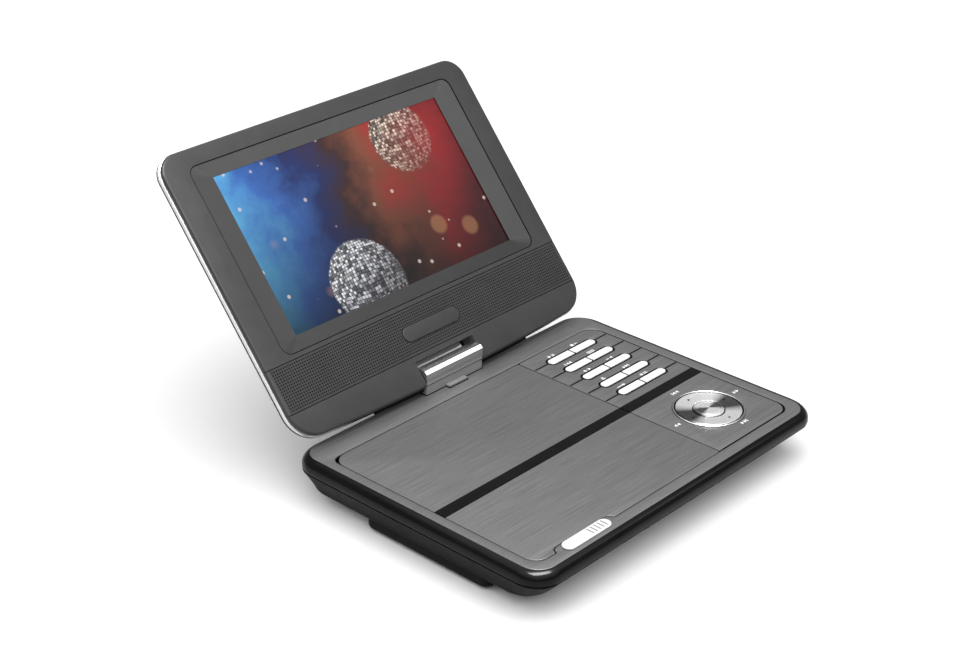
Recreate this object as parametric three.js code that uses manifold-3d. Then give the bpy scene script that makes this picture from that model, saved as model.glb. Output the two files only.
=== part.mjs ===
// Portable DVD player with a tilting, swivelling screen, shown open at 130 degrees.
// Millimetres. X runs to the user's right, Y from the front edge to the hinge, Z up from the table.
import * as THREE from 'three';
import { mergeVertices } from 'three/addons/utils/BufferGeometryUtils.js';
import Module from 'manifold-3d';

const wasm = await Module();
wasm.setup();

// ---- driving dimensions ----
const CENTRE_Y = 47.75; // middle of the whole player in Y, moved to the origin at the end
const SLIP = 0.3; // gap left between neighbouring pieces

const CASE = { x: 106.2, front: -79, back: 79.5, r: 14 }; // widest outline of the base
const CASE_WALL = 2;
const CASE_FLOOR = 7; // underside of the lower case
const SEAM_Z = 18; // joint between lower and upper case
const SHELF_Z = 23.6; // top of the upper case, under the deck plate
const LEDGE_Z = 22; // sunk ledge that carries the door and the control panel
const DECK_Z = 25;
const DECK = { x: 102, front: -75, back: 76.1, r: 10.5 };
const PLATE = 1.1; // brushed plate on the deck

const OPENING = { x0: -97, x1: 95.8, y0: -69, y1: 60.9, r: [8, 8, 8, 5.5] }; // hole in the deck plate
const DOOR = { x0: -96.6, x1: 36.1, y0: -68.6, y1: 60.2, z: 22.4 };
const PANEL = { x0: 36.7, x1: 95.4, y0: -68.6, y1: 60.2, z: 22.3 };
const STRIPE = { y0: -13.9, y1: -7, t: 0.5 }; // black inlay across door and panel
const TONGUE = [
  [-84.4, -70],
  [-43, -70],
  [-45, -66.2],
  [-47.5, -65.5],
  [-80, -65.5],
  [-82.4, -66.2],
]; // part of the deck that carries the OPEN slider

const LATCH_BAY = { x0: -85, x1: -42.4, y: -57 }; // cut out of the door's inner shell, behind the tongue

const DOOR_PIN = { y: 57.7, z: 23, r: 0.8, long: 2.6 };
const SLIDER = { x: -64, y: -69.4, long: 31, wide: 6.8, travel: 3 };

const KEY_ROWS = [49.2, 37.3, 25.6, 13.8, 2.2];
const KEY = { x0: 48.1, x1: 84.1, wide: 5, split: 0.3, moat: 0.8, top: 25.3, foot: 19.3 };
const NAV = { x: 66, y: -40, rim: 18.3, ring: 16.9, hole: 8.3, ok: 7.7 };

const HUB = { x: -30.1, y: -4.4 };
const WELL = { x0: -93.4, x1: 34.9, y0: -67.8, y1: 57, z0: 13.4, z1: 22, r: 6, wall: 1.2, floor: 1.4 };
const RAILS = [-18, 9.2]; // Y of the two guide rods
const RAIL = { z: 11.2, r: 1.25, x0: -20, x1: 43.5 };
const SCREW = { y: 14.6, z: 12, r: 1.1, throw: 0.2, endR: 0.8, x0: -19, threadEnd: 41, x1: 50, lead: 6 };

const BULGE = { x: 101.6, y0: -44, y1: 34, z: 1.5 }; // battery housing under the base
const BATTERY = { x: 66, y0: -35, y1: 25, z0: 3.3, z1: 8.3 };
const FEET = { front: [86, -36], back: [80, 60], r: 5.5, top: 2 };
const CASE_SCREWS = [
  [-97.6, -52],
  [95, -59],
  [-94, 66],
  [94, 66],
];
const JACKS = { dc_jack: 40.5, av_jack: 24, phones_jack: 8 }; // Y of each socket in the right wall
const JACK_Z = 13.5;
const SWITCH = { y: -25, travel: 3 };

const PIVOT = { x: 0, y: 75, r: 3 }; // vertical swivel axis
const TILT = { y: 74.44, z: 30.35, r: 1.5 }; // horizontal tilt axis
const BLOCK = { x: 20.6, y0: 71.1, y1: 78.8, z0: 25.3, z1: 38.2, chamfer: 1.5 };
const OPEN_ANGLE = 130;

// The screen is drawn flat: x across, y up the screen from the foot of the picture, z towards the user.
const AXIS_ON_LID = { y: -48.53, z: -1.7 };
const BEZEL = { x: 104.5, top: 103.7, foot: -51, face: 2, rTop: 11, rFoot: 15.5 };
const BAND = { x: 105, top: 104.2, foot: -51.5, rTop: 11.5, rFoot: 16 };
const BOW = 2.1; // how far the foot of the screen rises towards its corners
const PICTURE = { x: 77.4, y0: -0.4, y1: 86.4, z: 0.3 };
const RECESS = { x0: -90.1, x1: 90.9, y0: -8.3, y1: 94.7, r: 5.5 };
const GRILLE = { y0: -34.1, y1: -10.9, t: 0.65 };
const NOTCH = { x: 20.9, y: -37.3 }; // room for the swivel block
const LEDGE = { x1: 12.5, y0: -39.4, z0: -3, z1: 0.2 }; // lip along the top of that room
const LCD = { x: 83.5, y0: -5.5, y1: 92.5, z0: -4.2, z1: -0.35 };
const SPEAKER = { x0: 46, x1: 74, y0: -30.5, y1: -14.5, z0: -5, z1: 0.9 };
const BADGE = { x: 20, y: -23.35, r: 4 };

// ---- solids ----
// three.js geometry turned into a closed solid that can be joined and cut
function solid(source) {
  const bare = source.clone();
  bare.deleteAttribute('normal');
  bare.deleteAttribute('uv');
  const geometry = mergeVertices(bare, 1e-5);
  return new wasm.Manifold(
    new wasm.Mesh({
      numProp: 3,
      vertProperties: new Float32Array(geometry.attributes.position.array),
      triVerts: new Uint32Array(geometry.index.array),
    })
  );
}

const join = (...solids) => solids.reduce((a, b) => a.add(b));
const cut = (body, ...tools) => tools.reduce((a, b) => a.subtract(b), body);

// a box; its two X limits may come in either order
function block(xa, xb, y0, y1, z0, z1) {
  const box = new THREE.BoxGeometry(Math.abs(xb - xa), y1 - y0, z1 - z0);
  return solid(box.translate((xa + xb) / 2, (y0 + y1) / 2, (z0 + z1) / 2));
}

// an upright round post
function post(x, y, r, z0, z1, steps = 24) {
  const cylinder = new THREE.CylinderGeometry(r, r, z1 - z0, steps).rotateX(Math.PI / 2);
  return solid(cylinder.translate(x, y, (z0 + z1) / 2));
}

// a round bar along X
function barX(y, z, r, x0, x1, steps = 24) {
  const cylinder = new THREE.CylinderGeometry(r, r, x1 - x0, steps).rotateZ(-Math.PI / 2);
  return solid(cylinder.translate((x0 + x1) / 2, y, z));
}

function ring(x, y, outer, inner, z0, z1, steps) {
  return cut(post(x, y, outer, z0, z1, steps), post(x, y, inner, z0 - 1, z1 + 1, steps));
}

// a round key with a bevelled top edge
function button(x, y, r, z0, z1, bevel, steps = 32) {
  const profile = [
    [0, z0],
    [r, z0],
    [r, z1 - bevel],
    [r - bevel, z1],
    [0, z1],
  ];
  const turned = new THREE.LatheGeometry(profile.map(([a, b]) => new THREE.Vector2(a, b)), steps);
  return solid(turned.rotateX(Math.PI / 2).translate(x, y, 0));
}

// an outline drawn out along Z
function prism(points, z0, z1) {
  const shape = new THREE.Shape(points.map(([x, y]) => new THREE.Vector2(x, y)));
  return solid(new THREE.ExtrudeGeometry(shape, { depth: z1 - z0, bevelEnabled: false }).translate(0, 0, z0));
}

// an outline in Y and Z drawn out along X
function prismX(points, x0, x1) {
  const shape = new THREE.Shape(points.map(([y, z]) => new THREE.Vector2(y, z)));
  const drawn = new THREE.ExtrudeGeometry(shape, { depth: x1 - x0, bevelEnabled: false });
  return solid(drawn.rotateY(Math.PI / 2).rotateX(Math.PI / 2).translate(x0, 0, 0));
}

// skin over a stack of outlines that all have the same number of points, closed by flat ends
function loft(layers) {
  const count = layers[0].points.length;
  const last = (layers.length - 1) * count;
  const index = [];
  for (let start = 0; start < last; start += count) {
    for (let i = 0; i < count; i++) {
      const a = start + i;
      const b = start + ((i + 1) % count);
      index.push(a, b, b + count, a, b + count, a + count);
    }
  }
  capFaces(layers[0].points).forEach(([a, b, c]) => index.push(a, c, b));
  capFaces(layers[layers.length - 1].points).forEach((face) => index.push(...face.map((i) => last + i)));
  const positions = layers.flatMap(({ points, z }) => points.flatMap(([x, y]) => [x, y, z]));
  const skin = new THREE.BufferGeometry();
  skin.setAttribute('position', new THREE.Float32BufferAttribute(positions, 3));
  skin.setIndex(index);
  return solid(skin);
}

function capFaces(points) {
  const contour = points.map(([x, y]) => new THREE.Vector2(x, y));
  return THREE.ShapeUtils.triangulateShape(contour, []).map(([a, b, c]) => {
    const turn = contour[b].clone().sub(contour[a]).cross(contour[c].clone().sub(contour[a]));
    return turn > 0 ? [a, b, c] : [a, c, b];
  });
}

// rounded rectangle, anticlockwise; radii run front left, front right, back right, back left
function rounded(x0, x1, y0, y1, radius, steps = 4) {
  const [a, b, c, d] = Array.isArray(radius) ? radius : [radius, radius, radius, radius];
  const corners = [
    [x0 + a, y0 + a, a, 180],
    [x1 - b, y0 + b, b, 270],
    [x1 - c, y1 - c, c, 0],
    [x0 + d, y1 - d, d, 90],
  ];
  return corners.flatMap(([x, y, r, start]) => arc(x, y, r, start, start + 90, steps));
}

function arc(x, y, r, from, to, steps) {
  return Array.from({ length: steps + 1 }, (_, i) => {
    const angle = THREE.MathUtils.degToRad(from + ((to - from) * i) / steps);
    return [x + r * Math.cos(angle), y + r * Math.sin(angle)];
  });
}

function circle(x, y, r, steps = 24) {
  return arc(x, y, r, 0, 360 - 360 / steps, steps - 1);
}

// ---- base: case ----
function caseOutline(side, front, back, r = CASE.r) {
  return rounded(-CASE.x + side, CASE.x - side, CASE.front + front, CASE.back - back, r);
}

function caseTub(inward, z0, z1) {
  const profile = [
    [7, 5.4, 11.6, 7],
    [7.8, 4.3, 9.8, 5.6],
    [10.6, 3.4, 7, 4.2],
    [16.6, 0.9, 1.5, 1],
    [17.4, 0.5, 0.9, 0.6],
    [SEAM_Z, 1, 1.5, 1.1],
  ];
  return loft(
    profile.map(([z, side, front, back], i) => ({
      points: caseOutline(side + inward, front + inward, back + inward, CASE.r - 1.5 - inward / 2),
      z: i === 0 ? z0 : i === profile.length - 1 ? z1 : z,
    }))
  );
}

function bulgeShell() {
  const layer = (inset, z) => ({
    points: rounded(-BULGE.x + inset, BULGE.x - inset, BULGE.y0 + inset, BULGE.y1 - inset, 5 - inset),
    z,
  });
  return loft([layer(2, BULGE.z), layer(0.6, BULGE.z + 0.9), layer(0, BULGE.z + 2.4), layer(0, 8.4)]);
}

function bottomCase() {
  const shell = cut(caseTub(0, CASE_FLOOR, SEAM_Z), caseTub(CASE_WALL, CASE_FLOOR + 1.8, SEAM_Z + 1));
  const legs = [-1, 1].map((s) => post(s * FEET.back[0], FEET.back[1], 7, 1.4, 8.4));
  const bosses = CASE_SCREWS.map(([x, y]) => post(x, y, 3.6, 8, 17.6));
  const batteryBay = block(-68.5, 68.5, -37, 27, 3.1, 10);
  const coverBay = prism(rounded(-70, 70, -38.5, 28.5, 3), 1, 3.1);
  const endPockets = [-1, 1].map((s) => block(s * 99, s * 72.5, -41.5, 31.5, 3.6, 10));
  const padRecesses = footSpots().map(([x, y]) => post(x, y, FEET.r + 0.2, 0, FEET.top + 0.2));
  const screwHoles = CASE_SCREWS.flatMap(([x, y]) => [post(x, y, 2.8, 6, 9.3), post(x, y, 1.5, 8, 19)]);
  const sockets = Object.values(JACKS).map((y) => barX(y, JACK_Z, 3.1, 98, 110));
  const switchSlot = block(98, 110, SWITCH.y - 2.4, SWITCH.y + 2.4 + SWITCH.travel, 11.9, 15.1);
  return cut(
    join(shell, bulgeShell(), ...legs, ...bosses),
    batteryBay,
    coverBay,
    ...endPockets,
    ...padRecesses,
    ...screwHoles,
    ...sockets,
    switchSlot
  );
}

function footSpots() {
  return [-1, 1].flatMap((s) => [
    [s * FEET.front[0], FEET.front[1]],
    [s * FEET.back[0], FEET.back[1]],
  ]);
}

function foot(x, y) {
  return loft([
    { points: circle(x, y, FEET.r - 0.6, 20), z: 0 },
    { points: circle(x, y, FEET.r, 20), z: 0.6 },
    { points: circle(x, y, FEET.r, 20), z: FEET.top },
  ]);
}

function caseScrew(x, y) {
  const head = post(x, y, 2.5, 7.4, 9, 16);
  const shank = post(x, y, 1.3, 8.5, 21, 16);
  const slotAlongX = block(x - 1.5, x + 1.5, y - 0.3, y + 0.3, 7, 8);
  const slotAlongY = block(x - 0.3, x + 0.3, y - 1.5, y + 1.5, 7, 8);
  return cut(join(head, shank), slotAlongX, slotAlongY);
}

function batteryCover() {
  const grips = [-3, 0, 3].map((x) => block(40 + x, 41.2 + x, -12, 2, 1, 1.9));
  return cut(prism(rounded(-69.7, 69.7, -38.2, 28.2, 2.7), BULGE.z, 2.8), ...grips);
}

function batteryPack() {
  const cells = prism(rounded(-BATTERY.x, BATTERY.x, BATTERY.y0, BATTERY.y1, 2), BATTERY.z0, BATTERY.z1);
  return cut(cells, block(-70, 70, -5.4, -4.6, 8, 9));
}

function openingOutline(grow) {
  const { x0, x1, y0, y1, r } = OPENING;
  return rounded(x0 - grow, x1 + grow, y0 - grow, y1 + grow, r);
}

function topCase() {
  const profile = [
    [SEAM_Z + 0.3, 0.6],
    [19, 0],
    [21, 0],
    [22.4, 0.5],
    [23.5, 1.3],
    [24.4, 2.4],
    [24.9, 3.5],
  ];
  const layer = ([z, inset]) => ({ points: caseOutline(inset, inset, inset, CASE.r - inset / 3), z });
  const shell = loft(profile.map(layer));
  const deckPocket = prism(deckOutline(0.2, DECK.r), SHELF_Z, 26);
  const cavity = prism(caseOutline(2.4, 2.4, 2.4, CASE.r - 2), 17, 20.4);
  const bosses = CASE_SCREWS.map(([x, y]) => post(x, y, 3.6, SEAM_Z + 0.4, 21));
  const pivotBoss = post(PIVOT.x, PIVOT.y, 4.2, SEAM_Z + 0.4, 21);
  const frame = join(cut(shell, deckPocket, cavity), ...bosses, pivotBoss);
  const { x0, x1, y0, y1, r } = WELL;
  const wellHole = prism(rounded(x0 - SLIP, x1 + SLIP, y0 - SLIP, y1 + SLIP, r), 17, 26);
  const panelHole = prism(rounded(41, 92.6, -65.5, 57.5, 5), 17, 26);
  const open = cut(frame, prism(openingOutline(0), LEDGE_Z, 26), wellHole, panelHole);
  const cheek = block(37, 39.3, 56.2, 59.2, 21.5, 23.7);
  const shelf = prism(TONGUE, LEDGE_Z + 0.3, SHELF_Z);
  return cut(
    join(open, cheek, shelf),
    doorPinSlots(),
    hingeTrough(),
    sliderSlot(),
    post(PIVOT.x, PIVOT.y, PIVOT.r + 0.06, 17, 26),
    ...CASE_SCREWS.map(([x, y]) => post(x, y, 1.5, 18, 21.5))
  );
}

function deckOutline(grow, r) {
  return rounded(-DECK.x - grow, DECK.x + grow, DECK.front - grow, DECK.back + grow, r, 6);
}

function doorPinSlots() {
  const { y, z, r } = DOOR_PIN;
  return join(
    block(-99.6, -93, y - r - 0.05, y + r + 0.05, z - r - 0.05, 26),
    block(36, 39, y - r - 0.05, y + r + 0.05, z - r - 0.05, 26)
  );
}

// room for the door's back edge, which swings down behind the pins as the door opens
function hingeTrough() {
  return block(DOOR.x0 - 0.2, DOOR.x1 + 0.3, WELL.y1 - 0.2, OPENING.y1, 19, LEDGE_Z + 0.2);
}

function sliderSlot() {
  return block(SLIDER.x - 6.4, SLIDER.x + 6.4 + SLIDER.travel, SLIDER.y - 2.5, SLIDER.y + 1.1, 17, 26);
}

function deckPlate() {
  const sheet = prism(deckOutline(0, DECK.r - 0.2), DECK_Z - PLATE, DECK_Z);
  const opening = cut(prism(openingOutline(0), 23, 26), prism(TONGUE, 22, 27));
  return cut(sheet, opening, sliderSlot(), post(PIVOT.x, PIVOT.y, PIVOT.r + 0.4, 22, 26));
}

function openSlider() {
  const half = SLIDER.long / 2;
  const cap = (inset, z) => ({
    points: rounded(
      SLIDER.x - half + inset,
      SLIDER.x + half - inset,
      SLIDER.y - SLIDER.wide / 2 + inset,
      SLIDER.y + SLIDER.wide / 2 - inset,
      SLIDER.wide / 2 - inset,
      6
    ),
    z,
  });
  const grips = [2, 4.4, 6.8, 9.2, 11.6].map((x) => {
    const x0 = SLIDER.x + x;
    return block(x0, x0 + 0.8, SLIDER.y - 2.2, SLIDER.y + 2.2, 25.9, 27);
  });
  const stem = block(SLIDER.x - 6, SLIDER.x + 6, SLIDER.y - 2.2, SLIDER.y + 0.8, 19.6, 25.5);
  const retainer = block(SLIDER.x - 7.5, SLIDER.x + 7.5, SLIDER.y - 3, SLIDER.y + 0.8, 18.8, 19.9);
  return cut(join(loft([cap(0.2, 25.2), cap(0, 25.6), cap(0.5, 26.2)]), stem, retainer), ...grips);
}

// ---- base: disc door ----
function doorOutline(inset) {
  const { x0, x1, y0, y1 } = DOOR;
  return rounded(x0 + inset, x1 - inset, y0 + inset, y1 - inset, [8 - inset, 1, 1, 8 - inset]);
}

function doorNotch(z0, z1) {
  const wider = TONGUE.map(([x, y]) => [x + Math.sign(x + 63.7) * 0.4, y > -70 ? y + 0.4 : y]);
  return prism(wider, z0, z1);
}

function doorShell() {
  const { y, z, r, long } = DOOR_PIN;
  const lid = prism(doorOutline(0.3), DOOR.z, 23.8);
  const lightened = prism(circle(HUB.x, HUB.y, 57, 40), DOOR.z - 1, DOOR.z + 0.5);
  const pins = [
    barX(y, z, r, DOOR.x0 - long, DOOR.x0 + 4, 16),
    barX(y, z, r, DOOR.x1 - 4, DOOR.x1 + long, 16),
  ];
  const latchBay = block(LATCH_BAY.x0, LATCH_BAY.x1, -70, LATCH_BAY.y, 22, 24);
  const catchTab = block(SLIDER.x - 2, SLIDER.x + 2, LATCH_BAY.y, LATCH_BAY.y + 1.2, 20, 22.8);
  return join(cut(lid, lightened, latchBay), ...pins, catchTab);
}

function doorSkin() {
  return cut(prism(doorOutline(0), 23.9, DECK_Z), doorNotch(23, 26), stripeBed());
}

function stripeBed() {
  return block(-110, 110, STRIPE.y0 - 0.05, STRIPE.y1 + 0.05, DECK_Z - STRIPE.t - 0.05, 26);
}

function stripe(x0, x1) {
  return block(x0, x1, STRIPE.y0, STRIPE.y1, DECK_Z - STRIPE.t, DECK_Z);
}

// ---- base: control panel ----
function controlPanel() {
  const { x0, x1, y0, y1, z } = PANEL;
  const sheet = prism(rounded(x0, x1, y0, y1, [1, 8, 8, 1]), z, DECK_Z);
  const slots = KEY_ROWS.map((y) => prism(keySlot(y), 20, 26));
  const navHole = post(NAV.x, NAV.y, NAV.rim + 0.15, 20, 26, 40);
  const hingePocket = block(36, 39.7, 55.8, 59.6, 22, 24);
  return cut(sheet, stripeBed(), ...slots, navHole, hingePocket);
}

function keySlot(y) {
  const half = KEY.wide / 2 + KEY.moat;
  return rounded(KEY.x0 - KEY.moat, KEY.x1 + KEY.moat, y - half, y + half, half - 0.01, 5);
}

// one key: half of a capsule, rounded at its outer end only
function key(y, side) {
  const middle = (KEY.x0 + KEY.x1) / 2;
  const half = KEY.wide / 2;
  const x0 = side < 0 ? KEY.x0 : middle + KEY.split / 2;
  const x1 = side < 0 ? middle - KEY.split / 2 : KEY.x1;
  const outline = (inset) => {
    const round = half - 0.01 - inset;
    const radii = side < 0 ? [round, 0.2, 0.2, round] : [0.2, round, round, 0.2];
    return rounded(x0 + inset, x1 - inset, y - half + inset, y + half - inset, radii);
  };
  return loft([
    { points: outline(0), z: KEY.foot },
    { points: outline(0), z: KEY.top - 0.4 },
    { points: outline(0.3), z: KEY.top },
  ]);
}

function navRing() {
  const body = loft([
    { points: circle(NAV.x, NAV.y, NAV.ring, 40), z: 22 },
    { points: circle(NAV.x, NAV.y, NAV.ring, 40), z: 25.2 },
    { points: circle(NAV.x, NAV.y, NAV.ring - 0.5, 40), z: 25.6 },
  ]);
  const dish = loft([
    { points: circle(NAV.x, NAV.y, NAV.hole + 0.6, 40), z: 25.1 },
    { points: circle(NAV.x, NAV.y, NAV.ring - 1.2, 40), z: 25.65 },
  ]);
  return cut(body, dish, post(NAV.x, NAV.y, NAV.hole, 20, 27, 32));
}

function navRim() {
  const outer = button(NAV.x, NAV.y, NAV.rim, 23, 25.7, 0.35, 40);
  return cut(outer, post(NAV.x, NAV.y, NAV.ring + 0.4, 20, 27, 40));
}

// ---- base: works ----
function discWell() {
  const { x0, x1, y0, y1, z0, z1, r, wall, floor } = WELL;
  const tub = prism(rounded(x0, x1, y0, y1, r - 0.5), z0, z1);
  const bay = prism(rounded(x0 + wall, x1 - wall, y0 + wall, y1 - wall, r - 1.5), z0 + floor, z1 + 1);
  const sledSlot = block(-20, 33, HUB.y - 7.6, HUB.y + 7.6, z0 - 1, z1);
  return cut(tub, bay, post(HUB.x, HUB.y, 15, z0 - 1, z1, 32), sledSlot);
}

function mainBoard() {
  const board = join(block(60, 99, -52, 62, 9.2, 10.4), block(-86, 61, 38, 62, 9.2, 10.4));
  const chips = [
    [66, 84, -20, -2, 1.6],
    [70, 82, 8, 16, 1.2],
    [-20, 4, 42, 56, 1.6],
    [22, 36, 44, 54, 1.2],
    [-70, -58, 42, 58, 2.4],
  ];
  return join(board, ...chips.map(([x0, x1, y0, y1, h]) => block(x0, x1, y0, y1, 10, 10.4 + h)));
}

function keyBoard() {
  const board = prism(rounded(43, 91, -62, 55, 3), 17.4, 18.6);
  return cut(board, post(46, -59, 1.2, 17, 19, 12), post(88, 52, 1.2, 17, 19, 12));
}

function driveChassis() {
  const frame = prism(rounded(-48, 45, -27, 20, 4), 9.2, 12.9);
  const sledBay = block(-17.3, 41, -21.5, 17, 8, 14);
  const motorHole = post(HUB.x, HUB.y, 10.8, 8, 14, 32);
  const rails = RAILS.map((y) => barX(y, RAIL.z, RAIL.r + 0.06, RAIL.x0 - 0.3, RAIL.x1 + 0.3));
  const screwHole = barX(SCREW.y, SCREW.z, SCREW.r + 0.4, SCREW.x0 - 0.3, 46);
  return cut(frame, sledBay, motorHole, ...rails, screwHole);
}

function spindleMotor() {
  const can = post(HUB.x, HUB.y, 10.4, 9.3, 12.8, 28);
  return cut(can, post(HUB.x, HUB.y, 1.06, 8, 14, 16));
}

function turntable() {
  const platter = button(HUB.x, HUB.y, 14, 15.4, 16.9, 0.3, 36);
  const spigot = button(HUB.x, HUB.y, 7.3, 16, 19.3, 0.9, 28);
  const catches = [90, 210, 330].map((angle) => {
    const a = THREE.MathUtils.degToRad(angle);
    return post(HUB.x + 6.9 * Math.cos(a), HUB.y + 6.9 * Math.sin(a), 0.9, 17.6, 18.6, 10);
  });
  const boss = post(HUB.x, HUB.y, 8, 13.3, 15.8, 24);
  return join(platter, spigot, ...catches, boss, post(HUB.x, HUB.y, 1, 9.6, 14, 16));
}

function pickupSled() {
  const body = prism(rounded(-16.5, 0.5, -20.6, 11.6, 1), 9.7, 12.9);
  const tower = loft([
    { points: rounded(-14, -3.4, HUB.y - 5, HUB.y + 5, 2), z: 12.5 },
    { points: rounded(-13, -4.2, HUB.y - 4.5, HUB.y + 4.5, 2), z: 15.4 },
  ]);
  const lens = button(-8, HUB.y, 3.2, 15, 16.2, 0.6, 24);
  const follower = block(-12, -5, 11, 12.9, 10.5, 12.7);
  const bores = RAILS.map((y) => barX(y, RAIL.z, RAIL.r + 0.06, -17, 1));
  return cut(join(body, tower, lens, follower), ...bores);
}

// coarse thread: an off-centre round that turns as it runs along X, with a plain end in the motor
function leadScrew() {
  const steps = 56;
  const length = SCREW.threadEnd - SCREW.x0;
  const layers = Array.from({ length: steps + 1 }, (_, i) => {
    const along = (length * i) / steps;
    const turn = (2 * Math.PI * along) / SCREW.lead;
    const points = circle(SCREW.throw * Math.cos(turn), SCREW.throw * Math.sin(turn), SCREW.r, 8);
    return { points, z: along };
  });
  const thread = loft(layers).rotate([0, 90, 0]).translate([SCREW.x0, SCREW.y, SCREW.z]);
  return join(thread, barX(SCREW.y, SCREW.z, SCREW.endR, SCREW.threadEnd - 0.5, SCREW.x1, 16));
}

function sledMotor() {
  const can = barX(SCREW.y, SCREW.z, 3.2, 45.4, 57, 20);
  return cut(can, barX(SCREW.y, SCREW.z, 0.86, 45, 50.4, 16));
}

function jack(y) {
  const body = join(block(91, 100.5, y - 4, y + 4, 10.7, 16.3), barX(y, JACK_Z, 2.8, 100, 104.3, 20));
  const bore = barX(y, JACK_Z, 1.78, 93, 106, 20);
  const pin = barX(y, JACK_Z, 0.5, 92.5, 102.5, 10);
  return y === JACKS.dc_jack ? cut(body, bore).add(pin) : cut(body, bore);
}

function powerSwitch() {
  const y = SWITCH.y;
  const ribs = [-1, 0, 1].map((i) => block(105.3, 107, y + i * 1.1 - 0.25, y + i * 1.1 + 0.25, 11, 16));
  const thumb = block(99.5, 105.8, y - 2, y + 2, 12.2, 14.8);
  const flange = block(97.5, 100, y - 3.4, y + 3.4, 10.9, 16);
  return cut(join(thumb, flange), ...ribs);
}

// ---- swivel ----
function swivelBase() {
  const { x, y0, y1, z0 } = BLOCK;
  const foot = prism(rounded(-x, x, y0, y1, 0.8), z0, TILT.z - 0.15);
  const tab = prism(rounded(-6.6, 6.6, 68.4, y0 + 1, 0.8), z0, z0 + 0.9);
  const stem = post(PIVOT.x, PIVOT.y, PIVOT.r, 18.6, z0 + 1, 28);
  return cut(join(foot, tab, stem), shaftSpace(0.03, BLOCK.x + 1));
}

function swivelCover() {
  const { x, y0, y1, z1, chamfer } = BLOCK;
  const profile = [
    [y0, TILT.z + 0.15],
    [y1, TILT.z + 0.15],
    [y1, z1 - 1],
    [y1 - 1, z1],
    [y0 + chamfer, z1],
    [y0, z1 - chamfer],
  ];
  return cut(prismX(profile, -x, x), shaftSpace(0.03, BLOCK.x + 1));
}

function shaftSpace(clearance, half) {
  return barX(TILT.y, TILT.z, TILT.r + clearance, -half, half);
}

// ---- screen, drawn flat ----
function lidOutline({ x, top, foot, rTop, rFoot }, inset) {
  const half = x - inset;
  const low = foot + inset;
  const rise = low + BOW;
  const a = Math.max(rFoot - inset, 3);
  const b = Math.max(rTop - inset, 3);
  const bow = [-0.75, -0.5, -0.25, 0, 0.25, 0.5, 0.75].map((k) => [k * (half - a), low + BOW * k * k]);
  return [
    ...arc(-half + a, rise + a, a, 180, 270, 6),
    ...bow,
    ...arc(half - a, rise + a, a, 270, 360, 6),
    ...arc(half - b, top - inset - b, b, 0, 90, 6),
    ...arc(-half + b, top - inset - b, b, 90, 180, 6),
  ];
}

function lidLoft(shape, profile) {
  return loft(profile.map(([z, inset]) => ({ points: lidOutline(shape, inset), z })));
}

function bezelShell() {
  return lidLoft(BEZEL, [
    [-2.2, 2],
    [0.15, 2],
    [0.25, 0.1],
    [0.9, 0],
    [1.5, 0.15],
    [1.85, 0.5],
    [BEZEL.face, 1],
  ]);
}

function notchSpace(grow = 0) {
  return block(-NOTCH.x - grow, NOTCH.x + grow, -60, NOTCH.y + grow, -20, 10);
}

function lidShaft(clearance) {
  return barX(AXIS_ON_LID.y, AXIS_ON_LID.z, TILT.r + clearance, -33.3, 33.3);
}

function screenBezel() {
  const funnel = loft([
    { points: rounded(-PICTURE.x, PICTURE.x, PICTURE.y0, PICTURE.y1, 0.5), z: PICTURE.z },
    { points: rounded(RECESS.x0, RECESS.x1, RECESS.y0, RECESS.y1, RECESS.r), z: BEZEL.face + 0.01 },
  ]);
  const sight = block(-PICTURE.x, PICTURE.x, PICTURE.y0, PICTURE.y1, -3, PICTURE.z + 0.1);
  const lcdPocket = block(-84, 84, -6, 93, -5, -0.1);
  const hollow = lidLoft(BEZEL, [
    [-3, 4],
    [-0.7, 4],
  ]);
  const wallX = NOTCH.x + 1.5;
  const wallY = NOTCH.y + 1.5;
  const shallow = block(-wallX, wallX, -47.5, wallY, -4.4, 0.5);
  const deep = block(-wallX, wallX, -41.5, wallY, -7, 0.5);
  const notchWall = cut(join(shallow, deep), notchSpace());
  const knuckles = [-1, 1].map((s) => block(s * 22, s * 32, -47.5, -43, -4.4, 0.5));
  const ledge = block(-NOTCH.x - 1, LEDGE.x1, LEDGE.y0, NOTCH.y + 1, LEDGE.z0, LEDGE.z1);
  const shell = join(cut(bezelShell(), hollow, notchSpace()), notchWall, ledge, ...knuckles);
  const grilleBed = block(-110, 110, GRILLE.y0 - 0.25, GRILLE.y1 + 0.25, BEZEL.face - GRILLE.t - 0.15, 3);
  const speakerHoles = [-1, 1].map((s) => {
    const inner = s * (SPEAKER.x0 - 1);
    const outer = s * (SPEAKER.x1 + 1);
    return block(inner, outer, SPEAKER.y0 - 1, SPEAKER.y1 + 1, -3, 3);
  });
  return cut(shell, funnel, sight, lcdPocket, grilleBed, ...speakerHoles, lidShaft(0.05));
}

function speakerGrille() {
  return bezelShell().intersect(block(-110, 110, GRILLE.y0, GRILLE.y1, BEZEL.face - GRILLE.t, 3));
}

function sideBand() {
  const outer = lidLoft(BAND, [
    [-2.6, 0.25],
    [-2.2, 0],
    [-1, 0],
    [-0.6, 0.25],
  ]);
  const inner = lidLoft(BAND, [
    [-4, 1.5],
    [1, 1.5],
  ]);
  return cut(outer, inner, notchSpace(), lidShaft(0.3));
}

function backCover() {
  const outer = lidLoft(BAND, [
    [-10.5, 18],
    [-10.2, 14],
    [-9.3, 9.5],
    [-7.8, 5.2],
    [-6, 2.2],
    [-4.6, 0.9],
    [-3.8, 0.3],
    [-2.8, 0.1],
  ]);
  const inner = lidLoft(BAND, [
    [-9, 16.5],
    [-8.2, 10.5],
    [-6.6, 6],
    [-4.8, 3.2],
    [-2, 1.9],
  ]);
  return cut(outer, inner, notchSpace(0.3), lidShaft(0.3));
}

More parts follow.
